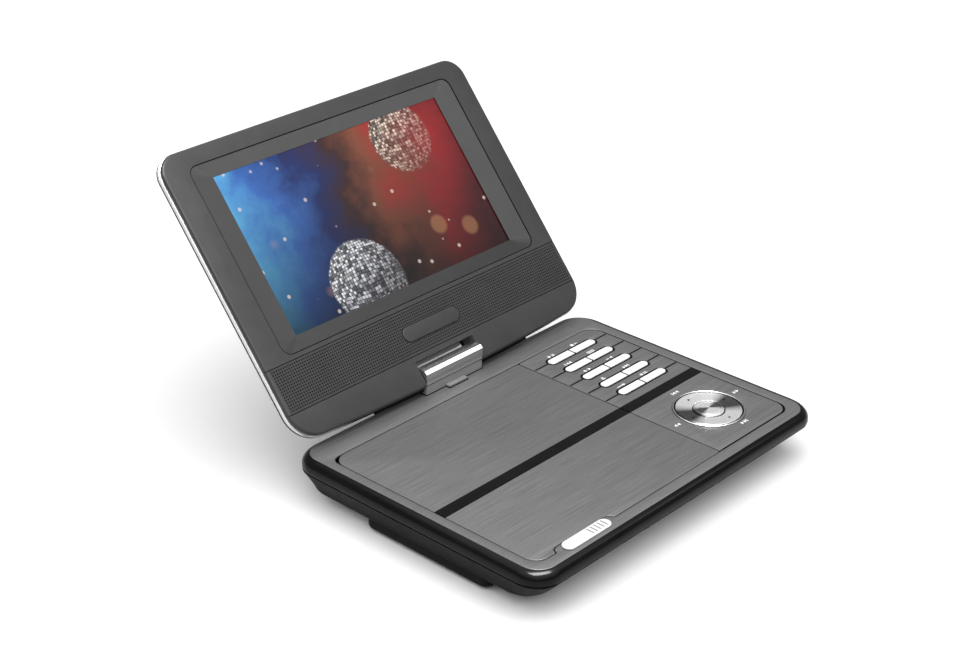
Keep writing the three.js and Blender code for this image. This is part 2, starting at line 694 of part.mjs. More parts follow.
function lcdPanel() {
  const glass = block(-LCD.x, LCD.x, LCD.y0, LCD.y1, LCD.z0, LCD.z1);
  const frontStep = block(-LCD.x - 1, LCD.x + 1, LCD.y0 - 1, LCD.y0 + 4, LCD.z1 - 0.4, 2);
  return cut(glass, frontStep);
}

function screenBoard() {
  const chips = [
    [-30, -14, 20, 36],
    [4, 16, 40, 52],
    [24, 44, 12, 26],
  ];
  return join(
    block(-55, 55, 5, 66, -5.8, -4.8),
    ...chips.map(([x0, x1, y0, y1]) => block(x0, x1, y0, y1, -7, -5.4))
  );
}

function speaker(side) {
  const x = side * ((SPEAKER.x0 + SPEAKER.x1) / 2);
  const y = (SPEAKER.y0 + SPEAKER.y1) / 2;
  const frame = prism(rounded(x - 14, x + 14, SPEAKER.y0, SPEAKER.y1, 6), -2.4, SPEAKER.z1);
  const magnet = prism(rounded(x - 9, x + 9, y - 6, y + 6, 4), SPEAKER.z0, -2);
  const cone = loft([
    { points: rounded(x - 5, x + 5, y - 3, y + 3, 2.5), z: -0.6 },
    { points: rounded(x - 12, x + 12, y - 6.4, y + 6.4, 5), z: 1 },
  ]);
  return cut(join(frame, magnet), cone);
}

function badgePlate() {
  const outline = (inset) =>
    rounded(
      -BADGE.x + inset,
      BADGE.x - inset,
      BADGE.y - BADGE.r + inset,
      BADGE.y + BADGE.r - inset,
      BADGE.r - inset - 0.01,
      5
    );
  return loft([
    { points: outline(0), z: 2.08 },
    { points: outline(0), z: 2.4 },
    { points: outline(0.3), z: 2.6 },
  ]);
}

// ---- assembly ----
const FINISH = {
  brushed: { color: 0x77787a, metalness: 0.6, roughness: 0.4 },
  gloss: { color: 0x141415, metalness: 0, roughness: 0.15 },
  satin: { color: 0x202021, metalness: 0, roughness: 0.45 },
  bezel: { color: 0x4a4a4b, metalness: 0, roughness: 0.5 },
  white: { color: 0xf2f2f0, metalness: 0, roughness: 0.2 },
  chrome: { color: 0xc9cacc, metalness: 1, roughness: 0.2 },
  steel: { color: 0x9b9da0, metalness: 1, roughness: 0.35 },
  board: { color: 0x1d5a35, metalness: 0, roughness: 0.5 },
  rubber: { color: 0x1a1a1a, metalness: 0, roughness: 0.9 },
  glass: { color: 0x20262e, metalness: 0, roughness: 0.1 },
  cell: { color: 0x2b3a5a, metalness: 0, roughness: 0.5 },
};

function toMesh(name, body, finish) {
  const mesh = body.getMesh();
  const geometry = new THREE.BufferGeometry();
  geometry.setAttribute('position', new THREE.Float32BufferAttribute(mesh.vertProperties, 3));
  geometry.setIndex(Array.from(mesh.triVerts));
  geometry.computeVertexNormals();
  const part = new THREE.Mesh(geometry, new THREE.MeshStandardMaterial(FINISH[finish]));
  part.name = name;
  return part;
}

// the player hangs in a group that brings its middle to the origin
const player = new THREE.Group();
const works = new THREE.Group();
works.position.y = -CENTRE_Y;
player.add(works);

// the flat screen is moved so that its tilt axis is at the pivot, then the pivot leans it back
const pivot = new THREE.Group();
pivot.position.set(0, TILT.y, TILT.z);
pivot.rotation.x = THREE.MathUtils.degToRad(180 - OPEN_ANGLE);
works.add(pivot);
const lid = new THREE.Group();
lid.position.set(0, -AXIS_ON_LID.y, -AXIS_ON_LID.z);
pivot.add(lid);

const add = (name, body, finish) => works.add(toMesh(name, body, finish));
const addToLid = (name, body, finish) => lid.add(toMesh(name, body, finish));

add('bottom_case', bottomCase(), 'satin');
add('top_case', topCase(), 'gloss');
add('deck_plate', deckPlate(), 'brushed');
add('open_slider', openSlider(), 'white');
footSpots().forEach(([x, y], i) => add(`foot_${i + 1}`, foot(x, y), 'rubber'));
CASE_SCREWS.forEach(([x, y], i) => add(`case_screw_${i + 1}`, caseScrew(x, y), 'steel'));
add('battery_cover', batteryCover(), 'satin');
add('battery_pack', batteryPack(), 'cell');

add('door_shell', doorShell(), 'satin');
add('door_skin', doorSkin(), 'brushed');
add('door_stripe', stripe(DOOR.x0 + 0.05, DOOR.x1 - 0.05), 'gloss');

add('control_panel', controlPanel(), 'brushed');
add('panel_stripe', stripe(PANEL.x0 + 0.05, PANEL.x1 - 0.3), 'gloss');
KEY_ROWS.forEach((y, i) => {
  add(`key_${i + 1}_left`, key(y, -1), 'white');
  add(`key_${i + 1}_right`, key(y, 1), 'white');
});
add('nav_rim', navRim(), 'chrome');
add('nav_carrier', ring(NAV.x, NAV.y, 16.2, 9.2, 20.2, 21.6, 28), 'satin');
add('nav_ring', navRing(), 'steel');
add('ok_button', button(NAV.x, NAV.y, NAV.ok, KEY.foot, 25.9, 0.5), 'steel');

add('disc_well', discWell(), 'satin');
add('main_board', mainBoard(), 'board');
add('key_board', keyBoard(), 'board');
add('drive_chassis', driveChassis(), 'satin');
add('spindle_motor', spindleMotor(), 'steel');
add('turntable', turntable(), 'satin');
RAILS.forEach((y, i) => add(`guide_rod_${i + 1}`, barX(y, RAIL.z, RAIL.r, RAIL.x0, RAIL.x1, 20), 'chrome'));
add('pickup_sled', pickupSled(), 'satin');
add('lead_screw', leadScrew(), 'steel');
add('sled_motor', sledMotor(), 'steel');
Object.entries(JACKS).forEach(([name, y]) => add(name, jack(y), 'satin'));
add('power_switch', powerSwitch(), 'satin');

add('swivel_base', swivelBase(), 'steel');
add('swivel_cover', swivelCover(), 'chrome');
add('tilt_shaft', barX(TILT.y, TILT.z, TILT.r, -33, 33, 24), 'steel');

addToLid('screen_bezel', screenBezel(), 'bezel');
addToLid('speaker_grille', speakerGrille(), 'bezel');
addToLid('side_band', sideBand(), 'chrome');
addToLid('back_cover', backCover(), 'gloss');
addToLid('lcd_panel', lcdPanel(), 'glass');
addToLid('screen_board', screenBoard(), 'board');
addToLid('speaker_left', speaker(-1), 'satin');
addToLid('speaker_right', speaker(1), 'satin');
addToLid('badge_plate', badgePlate(), 'bezel');

export default player;
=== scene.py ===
# The looks of a portable DVD player: moulded cases, brushed deck, keys, hinge and lit screen,
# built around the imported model. Drawings are in millimetres; place() turns them into metres.
import math

import bmesh
import bpy
from mathutils import Matrix, Vector


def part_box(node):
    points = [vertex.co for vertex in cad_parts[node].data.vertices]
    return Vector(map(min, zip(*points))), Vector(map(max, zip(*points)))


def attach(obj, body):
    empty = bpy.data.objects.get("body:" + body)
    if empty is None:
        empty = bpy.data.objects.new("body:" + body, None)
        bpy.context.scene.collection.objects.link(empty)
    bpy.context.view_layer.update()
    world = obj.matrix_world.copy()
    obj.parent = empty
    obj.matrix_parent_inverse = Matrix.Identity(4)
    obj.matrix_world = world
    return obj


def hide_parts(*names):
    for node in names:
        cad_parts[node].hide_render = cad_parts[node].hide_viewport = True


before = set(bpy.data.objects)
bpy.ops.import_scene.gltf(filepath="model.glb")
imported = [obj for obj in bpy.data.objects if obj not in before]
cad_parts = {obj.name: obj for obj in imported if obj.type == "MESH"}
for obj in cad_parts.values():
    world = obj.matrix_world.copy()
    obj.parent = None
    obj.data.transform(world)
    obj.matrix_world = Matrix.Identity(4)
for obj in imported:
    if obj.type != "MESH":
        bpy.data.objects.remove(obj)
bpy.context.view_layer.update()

MM = 0.001

# ---- driving dimensions of the base; Y runs from the front edge to the hinge ----
CASE = {"x": 106.2, "front": -79, "back": 79.5, "r": 14}
SEAM_Z = 18
SHELF_Z = 23.6
LEDGE_Z = 22
DECK_Z = 25
CLEAR_Z = 26  # clear above the deck, where what is cut out of it may end
DECK_FRONT = -75
DECK = {"x": 102, "back": 76.1, "r": 10.5, "thick": 1.1}
OPENING = (-97, 95.8, -69, 60.9)
OPENING_ROUND = (8, 8, 8, 5.5)
DOOR = (-96.6, 36.1, -68.6, 60.2)
PANEL = (36.7, 94.9, -68.1, 60.2)
STRIPE = (-13.9, -7, 0.5)  # front, back, depth
TONGUE = ((-83.9, -69), (-82.4, -66.2), (-80, -65.5), (-47.5, -65.5), (-45, -66.2), (-43.5, -69))
TONGUE_ROUND = (0.8, 1.6, 1.2, 1.2, 1.6, 0.8)
PIN = {"y": 57.7, "z": 23, "r": 0.8}
SLIDER = {"x": -64, "y": -69.4, "long": 31, "wide": 6.8, "travel": 3}
SLIDER_SLOT = (
    SLIDER["x"] - 6.4,
    SLIDER["x"] + 6.4 + SLIDER["travel"],
    SLIDER["y"] - 2.5,
    SLIDER["y"] + 1.1,
)
KEY_ROWS = (49.2, 37.3, 25.6, 13.8, 2.2)
KEY = {"x0": 48.1, "x1": 84.1, "wide": 5, "split": 0.5, "moat": 1.15, "top": 25.3, "foot": 19.3}
KEY_MIDDLE = (KEY["x0"] + KEY["x1"]) / 2
NAV = {"x": 66, "y": -40, "rim": 18.3, "ring": 16.9, "hole": 8.3, "ok": 7.7}
WELL = (-93.4, 34.9, -67.8, 57)
BULGE = (-101.6, 101.6, -44, 34)
FEET = ((-86, -36), (-80, 60), (86, -36), (80, 60))
CASE_SCREWS = ((-97.6, -52), (95, -59), (-94, 66), (94, 66))
JACK_YS = (40.5, 24, 8)
JACK_Z = 13.5
SWITCH = {"y": -25, "travel": 3}
PIVOT = {"y": 75, "r": 3}

# ---- driving dimensions of the screen, drawn flat: x across, y up from the foot of the picture ----
TILT = {"y": 74.44, "z": 30.35, "r": 1.5}
AXIS_ON_LID = (0, -48.53, -1.7)
LEAN = 50  # degrees that the open screen leans back
BEZEL = {"x": 104.5, "top": 103.7, "foot": -51, "top_r": 11, "foot_r": 15.5}
BAND = {"x": 105, "top": 104.2, "foot": -51.5, "top_r": 11.5, "foot_r": 16}
FACE = 2
BOW = 2.1
PICTURE = (-77.4, 77.4, -0.4, 86.4)
RECESS = (-90.1, 90.9, -8.3, 94.7)
RECESS_ROUND = 5.5
GRILLE = {"y0": -34.1, "y1": -10.9, "pitch": 1.46, "hole": 0.5, "thick": 0.3}
NOTCH = {"x": 20.9, "y": -37.3}
LEDGE = {"x1": 12.5, "y0": -39.4, "z0": -3, "z1": 0.2}
LCD = (-83.5, 83.5, -5.5, 92.5)
BADGE = {"x": 20, "y": -23.35, "r": 4}

ARC = 10  # steps in a rounded corner

BASE = Matrix.Translation((0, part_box("deck_plate")[0].y - DECK_FRONT * MM, 0))
LID = (
    BASE
    @ Matrix.Translation(Vector((0, TILT["y"], TILT["z"])) * MM)
    @ Matrix.Rotation(math.radians(LEAN), 4, "X")
    @ Matrix.Translation(Vector(AXIS_ON_LID) * -MM)
)


def add_object(name, data):
    thing = bpy.data.objects.new(name, data)
    bpy.context.scene.collection.objects.link(thing)
    return thing


# ---- camera and light ----
def add_camera():
    data = bpy.data.cameras.new("camera")
    data.sensor_width = 36
    data.lens = 73.24
    camera = add_object("camera", data)
    azimuth, elevation, roll = (math.radians(a) for a in (-47.65, 26.95, 0.53))
    stand = Matrix.Translation((-0.63775, -0.57485, 0.49912))
    aim = Matrix.Rotation(azimuth, 4, "Z") @ Matrix.Rotation(math.pi / 2 - elevation, 4, "X")
    camera.matrix_world = stand @ aim @ Matrix.Rotation(roll, 4, "Z")
    bpy.context.scene.camera = camera


def add_area(name, place, aim, size, watts):
    data = bpy.data.lights.new(name, "AREA")
    data.shape = "RECTANGLE"
    data.size, data.size_y = size
    data.energy = watts
    lamp = add_object(name, data)
    lamp.location = place
    lamp.rotation_euler = (Vector(aim) - Vector(place)).to_track_quat("-Z", "Y").to_euler()
    return lamp


def add_studio():
    world = bpy.data.worlds.new("studio")
    world.use_nodes = True
    sky = world.node_tree.nodes["Background"]
    sky.inputs["Color"].default_value = (1, 1, 1, 1)
    sky.inputs["Strength"].default_value = 0.32
    bpy.context.scene.world = world
    bpy.context.scene.view_settings.view_transform = "Standard"
    add_area("overhead", (-0.9, -1.0, 2.2), (-0.9, -1.0, 0), (5.5, 5.5), 175)
    add_area("hinge_glint", (1.1, -0.75, 1.05), (0, 0.03, 0.03), (0.4, 0.4), 1.4)
    strip = add_area("corner_glint", (-0.17, -0.34, 1.5), (-0.1, -0.12, 0.02), (1.1, 0.6), 140)
    strip.visible_diffuse = False


def add_floor():
    mesh = bpy.data.meshes.new("floor")
    reach = 6
    corners = [(-reach, -reach, 0), (reach, -reach, 0), (reach, reach, 0), (-reach, reach, 0)]
    mesh.from_pydata(corners, [], [(0, 1, 2, 3)])
    floor = add_object("floor", mesh)
    paint, nodes = new_paint("floor_paint", roughness=0.9)
    nodes.mottle("Base Color", 3, (0.87, 0.87, 0.87), (0.9, 0.9, 0.9))
    mesh.materials.append(paint)


# ---- materials ----
class Nodes:
    """Short ways to feed a Principled shader from millimetres about a piece's origin."""

    def __init__(self, tree):
        self.tree = tree
        self.shader = tree.nodes["Principled BSDF"]
        where = tree.nodes.new("ShaderNodeTexCoord")
        scaled = self.add("ShaderNodeVectorMath", operation="SCALE")
        scaled.inputs["Scale"].default_value = 1 / MM
        self.link(where.outputs["Object"], scaled.inputs[0])
        self.place = scaled.outputs[0]
        self.normal = where.outputs["Normal"]

    def add(self, kind, **settings):
        node = self.tree.nodes.new(kind)
        for name, value in settings.items():
            setattr(node, name, value)
        return node

    def link(self, out, socket):
        self.tree.links.new(out, socket)

    def math(self, operation, a, b=0.0):
        node = self.add("ShaderNodeMath", operation=operation)
        for value, socket in ((a, node.inputs[0]), (b, node.inputs[1])):
            if isinstance(value, (int, float)):
                socket.default_value = value
            else:
                self.link(value, socket)
        return node.outputs[0]

    def split(self, vector=None):
        node = self.add("ShaderNodeSeparateXYZ")
        self.link(vector or self.place, node.inputs[0])
        return node.outputs

    def noise(self, per_mm, stretch=(1, 1, 1), detail=3.0, rough=0.55):
        mapping = self.add("ShaderNodeMapping")
        mapping.inputs["Scale"].default_value = stretch
        self.link(self.place, mapping.inputs["Vector"])
        texture = self.add("ShaderNodeTexNoise")
        texture.inputs["Scale"].default_value = per_mm
        texture.inputs["Detail"].default_value = detail
        texture.inputs["Roughness"].default_value = rough
        self.link(mapping.outputs[0], texture.inputs["Vector"])
        return texture.outputs["Fac"]

    def ramp(self, value, *stops):
        """A colour ramp; each stop is (position, colour or grey)."""
        node = self.add("ShaderNodeValToRGB")
        elements = node.color_ramp.elements
        while len(elements) < len(stops):
            elements.new(0.5)
        for element, (position, colour) in zip(elements, stops):
            element.position = position
            element.color = (*colour, 1) if isinstance(colour, tuple) else (colour, colour, colour, 1)
        self.link(value, node.inputs["Fac"])
        return node.outputs["Color"]

    def span(self, value, low, high, out_low, out_high):
        node = self.add("ShaderNodeMapRange")
        ends = {"From Min": low, "From Max": high, "To Min": out_low, "To Max": out_high}
        for name, number in ends.items():
            node.inputs[name].default_value = number
        self.link(value, node.inputs["Value"])
        return node.outputs["Result"]

    def mix(self, share, a, b, blend="MIX"):
        node = self.add("ShaderNodeMix", data_type="RGBA", blend_type=blend)
        if isinstance(share, (int, float)):
            node.inputs["Factor"].default_value = share
        else:
            self.link(share, node.inputs["Factor"])
        for value, socket in ((a, node.inputs["A"]), (b, node.inputs["B"])):
            if isinstance(value, tuple):
                socket.default_value = (*value, 1)
            else:
                self.link(value, socket)
        return node.outputs["Result"]

    def across_and_up(self, vector=None):
        """The parts across and up the leaning screen, of a vector or else of the place on the surface."""
        x, level, height = self.split(vector)
        lean = math.radians(LEAN)
        along = self.math("MULTIPLY", level, math.cos(lean))
        return x, self.math("ADD", along, self.math("MULTIPLY", height, math.sin(lean)))

    def feed(self, name, out):
        self.link(out, self.shader.inputs[name])

    def mottle(self, name, per_mm, low, high, stretch=(1, 1, 1)):
        """A colour that drifts a little over the surface."""
        self.feed(name, self.ramp(self.noise(per_mm, stretch), (0.3, low), (0.7, high)))

    def uneven_gloss(self, per_mm, low, high, stretch=(1, 1, 1)):
        self.feed("Roughness", self.span(self.noise(per_mm, stretch), 0.25, 0.75, low, high))

    def bump(self, height, strength, depth):
        node = self.add("ShaderNodeBump")
        node.inputs["Strength"].default_value = strength
        node.inputs["Distance"].default_value = depth * MM
        self.link(height, node.inputs["Height"])
        self.feed("Normal", node.outputs["Normal"])


def new_paint(name, roughness=0.5, metallic=0.0, specular=0.5, coat=0.0):
    paint = bpy.data.materials.new(name)
    paint.use_nodes = True
    nodes = Nodes(paint.node_tree)
    for socket, value in (
        ("Roughness", roughness),
        ("Metallic", metallic),
        ("Specular IOR Level", specular),
        ("Coat Weight", coat),
    ):
        nodes.shader.inputs[socket].default_value = value
    return paint, nodes


def moulded(name, low, high, roughness, grain=2.2, depth=0.02, specular=0.5, coat=0.0):
    """Moulded plastic: a faint drift of colour, uneven gloss and a fine spark-eroded grain."""
    paint, nodes = new_paint(name, specular=specular, coat=coat)
    nodes.mottle("Base Color", 0.06, low, high)
    nodes.uneven_gloss(0.25, roughness * 0.85, roughness * 1.15)
    nodes.bump(nodes.noise(grain, detail=2), 0.35, depth)
    return paint


def brushed(name):
    """Brushed film: short light and dark hairs along X over a soft drift, under a thin lacquer."""
    paint, nodes = new_paint(name, metallic=0.35, specular=0.3)
    hairs = nodes.noise(2.2, (0.014, 1.6, 1), detail=3, rough=0.8)
    bands = nodes.noise(0.35, (0.02, 1, 1), detail=2)
    shade = nodes.ramp(hairs, (0.34, 0.07), (0.5, 0.114), (0.66, 0.165))
    drift = nodes.ramp(bands, (0.3, 0.9), (0.7, 1.0))
    nodes.feed("Base Color", nodes.mix(1.0, shade, drift, "MULTIPLY"))
    nodes.feed("Roughness", nodes.span(hairs, 0.3, 0.7, 0.52, 0.42))
    nodes.bump(hairs, 0.3, 0.02)
    return paint


def spun(name, low, high, roughness):
    """Metal turned on a lathe: fine rings, and the light and dark cones that they throw, painted into its
    colour as sheen.
    """
    paint, nodes = new_paint(name, metallic=0.45)
    x, y, _ = nodes.split()
    radius = nodes.math("SQRT", nodes.math("ADD", nodes.math("MULTIPLY", x, x), nodes.math("MULTIPLY", y, y)))
    angle = nodes.math("ARCTAN2", y, x)
    # painted highlight: the colour runs from dark to bright with the angle about the centre
    painted_sheen_cones = nodes.math("SINE", nodes.math("ADD", nodes.math("MULTIPLY", angle, 2.0), -1.05))
    rings = nodes.math("SINE", nodes.math("MULTIPLY", radius, 21.0))
    tone = nodes.ramp(nodes.span(painted_sheen_cones, -1, 1, 0, 1), (0.1, low), (0.26, 0.6 * high), (0.5, high))
    nodes.feed("Base Color", tone)
    nodes.feed("Roughness", nodes.span(rings, -1, 1, roughness * 0.8, roughness * 1.2))
    nodes.bump(rings, 0.25, 0.02)
    return paint


def metal(name, low, high, roughness, stretch=(1, 1, 1), grain=3.0):
    paint, nodes = new_paint(name, metallic=1.0)
    nodes.mottle("Base Color", 0.2, low, high, stretch)
    nodes.uneven_gloss(grain, roughness * 0.8, roughness * 1.2, stretch)
    nodes.bump(nodes.noise(grain, stretch), 0.2, 0.01)
    return paint


def side_trim():
    """Bright trim, with painted shade darkening it along the foot of the screen between its two corners."""
    paint, nodes = new_paint("bright_trim", metallic=0.7)
    x, y = nodes.across_and_up()
    above = nodes.span(y, BAND["foot"] + 4, BAND["foot"] + 8, 0, 1)
    beside = nodes.span(nodes.math("ABSOLUTE", x), 70, 84, 0, 1)
    bright = nodes.ramp(nodes.noise(0.2), (0.3, 0.5), (0.7, 0.58))
    # painted shade: near black along the foot, the bright metal elsewhere
    nodes.feed("Base Color", nodes.mix(nodes.math("MAXIMUM", above, beside), (0.02, 0.02, 0.02), bright))
    nodes.uneven_gloss(0.3, 0.2, 0.28)
    return paint


def painted_recess_shading():
    """The recess round the picture, with painted shade: palest where its slope faces down the screen, darkest
    where up.
    """
    paint, nodes = new_paint("recess_grey_painted_shade", specular=0.15)
    x, up = nodes.across_and_up(nodes.normal)
    # painted shading: the tone depends on which way the slope faces
    painted_shade_by_slope = nodes.span(up, -0.1, 0.1, 0.07, 0.022)
    sides = nodes.span(nodes.math("ABSOLUTE", x), 0, 0.1, 0, 0.006)
    tone = nodes.math("ADD", painted_shade_by_slope, sides)
    drift = nodes.span(nodes.noise(0.06), 0.3, 0.7, 0.95, 1.05)
    nodes.feed("Base Color", nodes.math("MULTIPLY", tone, drift))
    nodes.uneven_gloss(0.25, 0.4, 0.5)
    return paint


def circuit_board():
    """Green lacquer over a grid of copper tracks and pads."""
    paint, nodes = new_paint("board_lacquer", roughness=0.35)
    bricks = nodes.add("ShaderNodeTexBrick")
    bricks.inputs["Scale"].default_value = 0.16
    bricks.inputs["Mortar Size"].default_value = 0.035
    nodes.link(nodes.place, bricks.inputs["Vector"])
    lacquer = nodes.ramp(nodes.noise(0.8), (0.3, (0.012, 0.09, 0.03)), (0.7, (0.02, 0.15, 0.05)))
    nodes.feed("Base Color", nodes.mix(bricks.outputs["Fac"], lacquer, (0.16, 0.3, 0.12)))
    nodes.bump(bricks.outputs["Fac"], 0.3, 0.05)
    return paint


def lit_picture():
    """The screen, lit: blue haze on the left, red on the right, soft lights and two clusters of glints."""
    paint, nodes = new_paint("lit_picture", roughness=0.2, specular=0.08)
    nodes.shader.inputs["Base Color"].default_value = (0.004, 0.004, 0.005, 1)
    x, y = nodes.across_and_up()
    drift = nodes.math("MULTIPLY", nodes.math("SUBTRACT", nodes.noise(0.02, detail=5, rough=0.6), 0.5), 100.0)
    across = nodes.math("ADD", x, drift)
    ground = nodes.ramp(
        nodes.span(across, PICTURE[0], PICTURE[1], 0, 1),
        (0.0, (0.12, 0.46, 0.80)),
        (0.14, (0.05, 0.16, 0.52)),
        (0.3, (0.015, 0.03, 0.14)),
        (0.46, (0.05, 0.02, 0.018)),
        (0.6, (0.24, 0.07, 0.035)),
        (0.8, (0.40, 0.02, 0.022)),
        (1.0, (0.10, 0.008, 0.010)),
    )
    climb = nodes.math("ADD", y, nodes.math("MULTIPLY", drift, 0.5))
    rise = nodes.span(climb, PICTURE[2], PICTURE[3], 0.12, 1.1)
    glow = nodes.mix(1.0, ground, nodes.ramp(rise, (0.0, 0.0), (1.0, 1.0)), "MULTIPLY")
    spot = nodes.add("ShaderNodeCombineXYZ")
    nodes.link(x, spot.inputs["X"])
    nodes.link(y, spot.inputs["Y"])
    soft_lights = ((0.05, 0.3, 0.16, (1.0, 0.55, 0.25)), (0.13, 0.16, 0.5, (0.95, 0.8, 0.7)))
    for per_mm, radius, share, warm in soft_lights:
        cells = nodes.add("ShaderNodeTexVoronoi", feature="F1")
        cells.inputs["Scale"].default_value = per_mm
        nodes.link(spot.outputs[0], cells.inputs["Vector"])
        disc = nodes.span(cells.outputs["Distance"], radius, radius * 0.7, 0, share)
        pick = nodes.math("GREATER_THAN", nodes.split(cells.outputs["Color"])[0], 0.62)
        glow = nodes.mix(nodes.math("MULTIPLY", disc, pick), glow, warm)
    for cx, cy, r, tint in ((-21, 9, 24, (0.95, 0.96, 1.0)), (43, 73, 20, (1.0, 0.8, 0.66))):
        glow = glitter(nodes, glow, spot.outputs[0], (cx, cy, r), tint)
    nodes.feed("Emission Color", glow)
    nodes.shader.inputs["Emission Strength"].default_value = 1.0
    return paint


def glitter(nodes, ground, spot, ball, tint):
    """A round cluster of small square glints, each with its own brightness, fading to dark on one side."""
    cx, cy, r = ball
    away = nodes.add("ShaderNodeVectorMath", operation="SUBTRACT")
    away.inputs[1].default_value = (cx, cy, 0)
    nodes.link(spot, away.inputs[0])
    length = nodes.add("ShaderNodeVectorMath", operation="LENGTH")
    nodes.link(away.outputs[0], length.inputs[0])
    radius = length.outputs["Value"]
    bulge = nodes.span(radius, 0, r, 1, 1.5)
    spread = nodes.add("ShaderNodeVectorMath", operation="SCALE")
    nodes.link(away.outputs[0], spread.inputs[0])
    nodes.link(bulge, spread.inputs["Scale"])
    tiles = nodes.add("ShaderNodeTexVoronoi", feature="F1", distance="CHEBYCHEV")
    tiles.inputs["Scale"].default_value = 0.42
    tiles.inputs["Randomness"].default_value = 0.12
    nodes.link(spread.outputs[0], tiles.inputs["Vector"])
    shine = nodes.ramp(nodes.split(tiles.outputs["Color"])[0], (0.1, 0.1), (0.5, 0.36), (0.85, 1.0))
    grout = nodes.ramp(tiles.outputs["Distance"], (0.34, 1.0), (0.46, 0.15))
    x, y, _ = nodes.split(away.outputs[0])
    lit = nodes.span(nodes.math("SUBTRACT", y, x), -r, r, 0.25, 1)
    face = nodes.mix(1.0, nodes.mix(1.0, shine, grout, "MULTIPLY"), tint, "MULTIPLY")
    inside = nodes.math("MULTIPLY", nodes.span(radius, r, r - 1.2, 0, 1), lit)
    return nodes.mix(inside, ground, face)


def make_paints():
    return {
        "brushed": brushed("brushed_film"),
        "gloss": moulded("piano_black", 0.003, 0.005, 0.2, grain=0.5, depth=0.002, specular=0.11),
        "satin": moulded("satin_black", 0.005, 0.008, 0.42, grain=2.6, depth=0.03, specular=0.04),
        "void": moulded("shade_seam_and_mark_black", 0.001, 0.002, 0.6, grain=1.5, depth=0.01, specular=0.03),
        "bezel": moulded("bezel_grey", 0.036, 0.043, 0.46, grain=2.4, depth=0.02, specular=0.15),
        "recess": painted_recess_shading(),
        "cloth": moulded("speaker_cloth", 0.002, 0.006, 0.9, grain=4.0, depth=0.05, specular=0.1),
        "white": moulded("white_gloss", 0.80, 0.86, 0.2, grain=0.5, depth=0.004, coat=0.4),
        "print": moulded("white_print", 0.72, 0.86, 0.5, grain=3.0, depth=0.005),
        "grip": moulded("grip_grey", 0.20, 0.28, 0.4, grain=2.0, depth=0.01),
        "hinge": metal("hinge_plating", 0.66, 0.74, 0.17, (0.3, 3, 3), 1.5),
        "hinge_foot": moulded("hinge_foot_grey", 0.19, 0.23, 0.4, grain=3.0, depth=0.01, specular=0.4),
        "chrome": metal("bright_ring", 0.42, 0.5, 0.24, (0.1, 0.1, 1)),
        "trim": side_trim(),
        "spun": spun("spun_metal", 0.04, 0.62, 0.26),
        "spun_ok": spun("spun_button", 0.06, 0.6, 0.28),
        "steel": metal("bright_steel", 0.46, 0.55, 0.28),
        "plated": metal("plated_sheet", 0.5, 0.62, 0.4, (0.2, 2, 1)),
        "brass": metal("motor_brass", 0.52, 0.6, 0.3),
        "board": circuit_board(),
        "rubber": moulded("foot_rubber", 0.010, 0.018, 0.85, grain=3.2, depth=0.06, specular=0.2),
        "wrap": moulded("cell_wrap", (0.02, 0.035, 0.09), (0.03, 0.05, 0.13), 0.3, grain=1.0, depth=0.02),
        "well": moulded("well_grey", 0.024, 0.027, 0.5, grain=2.6, depth=0.03),
        "picture": lit_picture(),
    }


# ---- outlines ----
def arc(x, y, r, start, end, steps=ARC):
    angles = [math.radians(start + (end - start) * i / steps) for i in range(steps + 1)]
    return [(x + r * math.cos(a), y + r * math.sin(a)) for a in angles]


def circle(x, y, r, steps=64):
    return arc(x, y, r, 0, 360 - 360 / steps, steps - 1)


def box_outline(limits, radii, inset=0.0, steps=ARC):
    """A rounded rectangle; radii run front left, front right, back right, back left."""
    x0, x1, y0, y1 = limits[0] + inset, limits[1] - inset, limits[2] + inset, limits[3] - inset
    a, b, c, d = (max(r - inset, 0.05) for r in (radii if isinstance(radii, tuple) else (radii,) * 4))
    corners = (
        (x0 + a, y0 + a, a, 180),
        (x1 - b, y0 + b, b, 270),
        (x1 - c, y1 - c, c, 0),
        (x0 + d, y1 - d, d, 90),
    )
    return [point for x, y, r, start in corners for point in arc(x, y, r, start, start + 90, steps)]


def filleted(corners, steps=6):
    """A closed outline through (x, y, radius) corners, each rounded by a true arc."""
    outline = []
    for i, (x, y, r) in enumerate(corners):
        here = Vector((x, y))
        back = (Vector(corners[i - 1][:2]) - here).normalized()
        on = (Vector(corners[(i + 1) % len(corners)][:2]) - here).normalized()
        half = back.angle(on) / 2
        centre = here + (back + on).normalized() * r / math.sin(half)
        start = here + back * r / math.tan(half) - centre
        end = here + on * r / math.tan(half) - centre
        turn = math.atan2(start.x * end.y - start.y * end.x, start.dot(end))
        for k in range(steps + 1):
            a = turn * k / steps
            outline.append(
                (
                    centre.x + start.x * math.cos(a) - start.y * math.sin(a),
                    centre.y + start.x * math.sin(a) + start.y * math.cos(a),
                )
            )
    return outline


def filleted_where(corners):
    """An outline whose corners with radius 0 stay sharp."""
    return filleted([(x, y, r or 0.05) for x, y, r in corners], 4)


def around_tongue(limits, radii, widen=0.0):
    """A rectangle whose front edge steps back round the tongue that carries the OPEN slider."""
    x0, x1, y0, y1 = limits
    tongue = [
        (x + math.copysign(widen, x + 63.7), y0 if i in (0, 5) else y + widen, r)
        for i, ((x, y), r) in enumerate(zip(TONGUE, TONGUE_ROUND))
    ]
    a, b, c, d = radii
    return filleted([(x0, y0, a), *tongue, (x1, y0, b), (x1, y1, c), (x0, y1, d)], ARC)


def foot_bow(half, low):
    """Points along the screen's foot, which bows up towards both corners."""
    return [(k / 8 * half, low + BOW * (k / 8) ** 2) for k in range(-7, 8)]


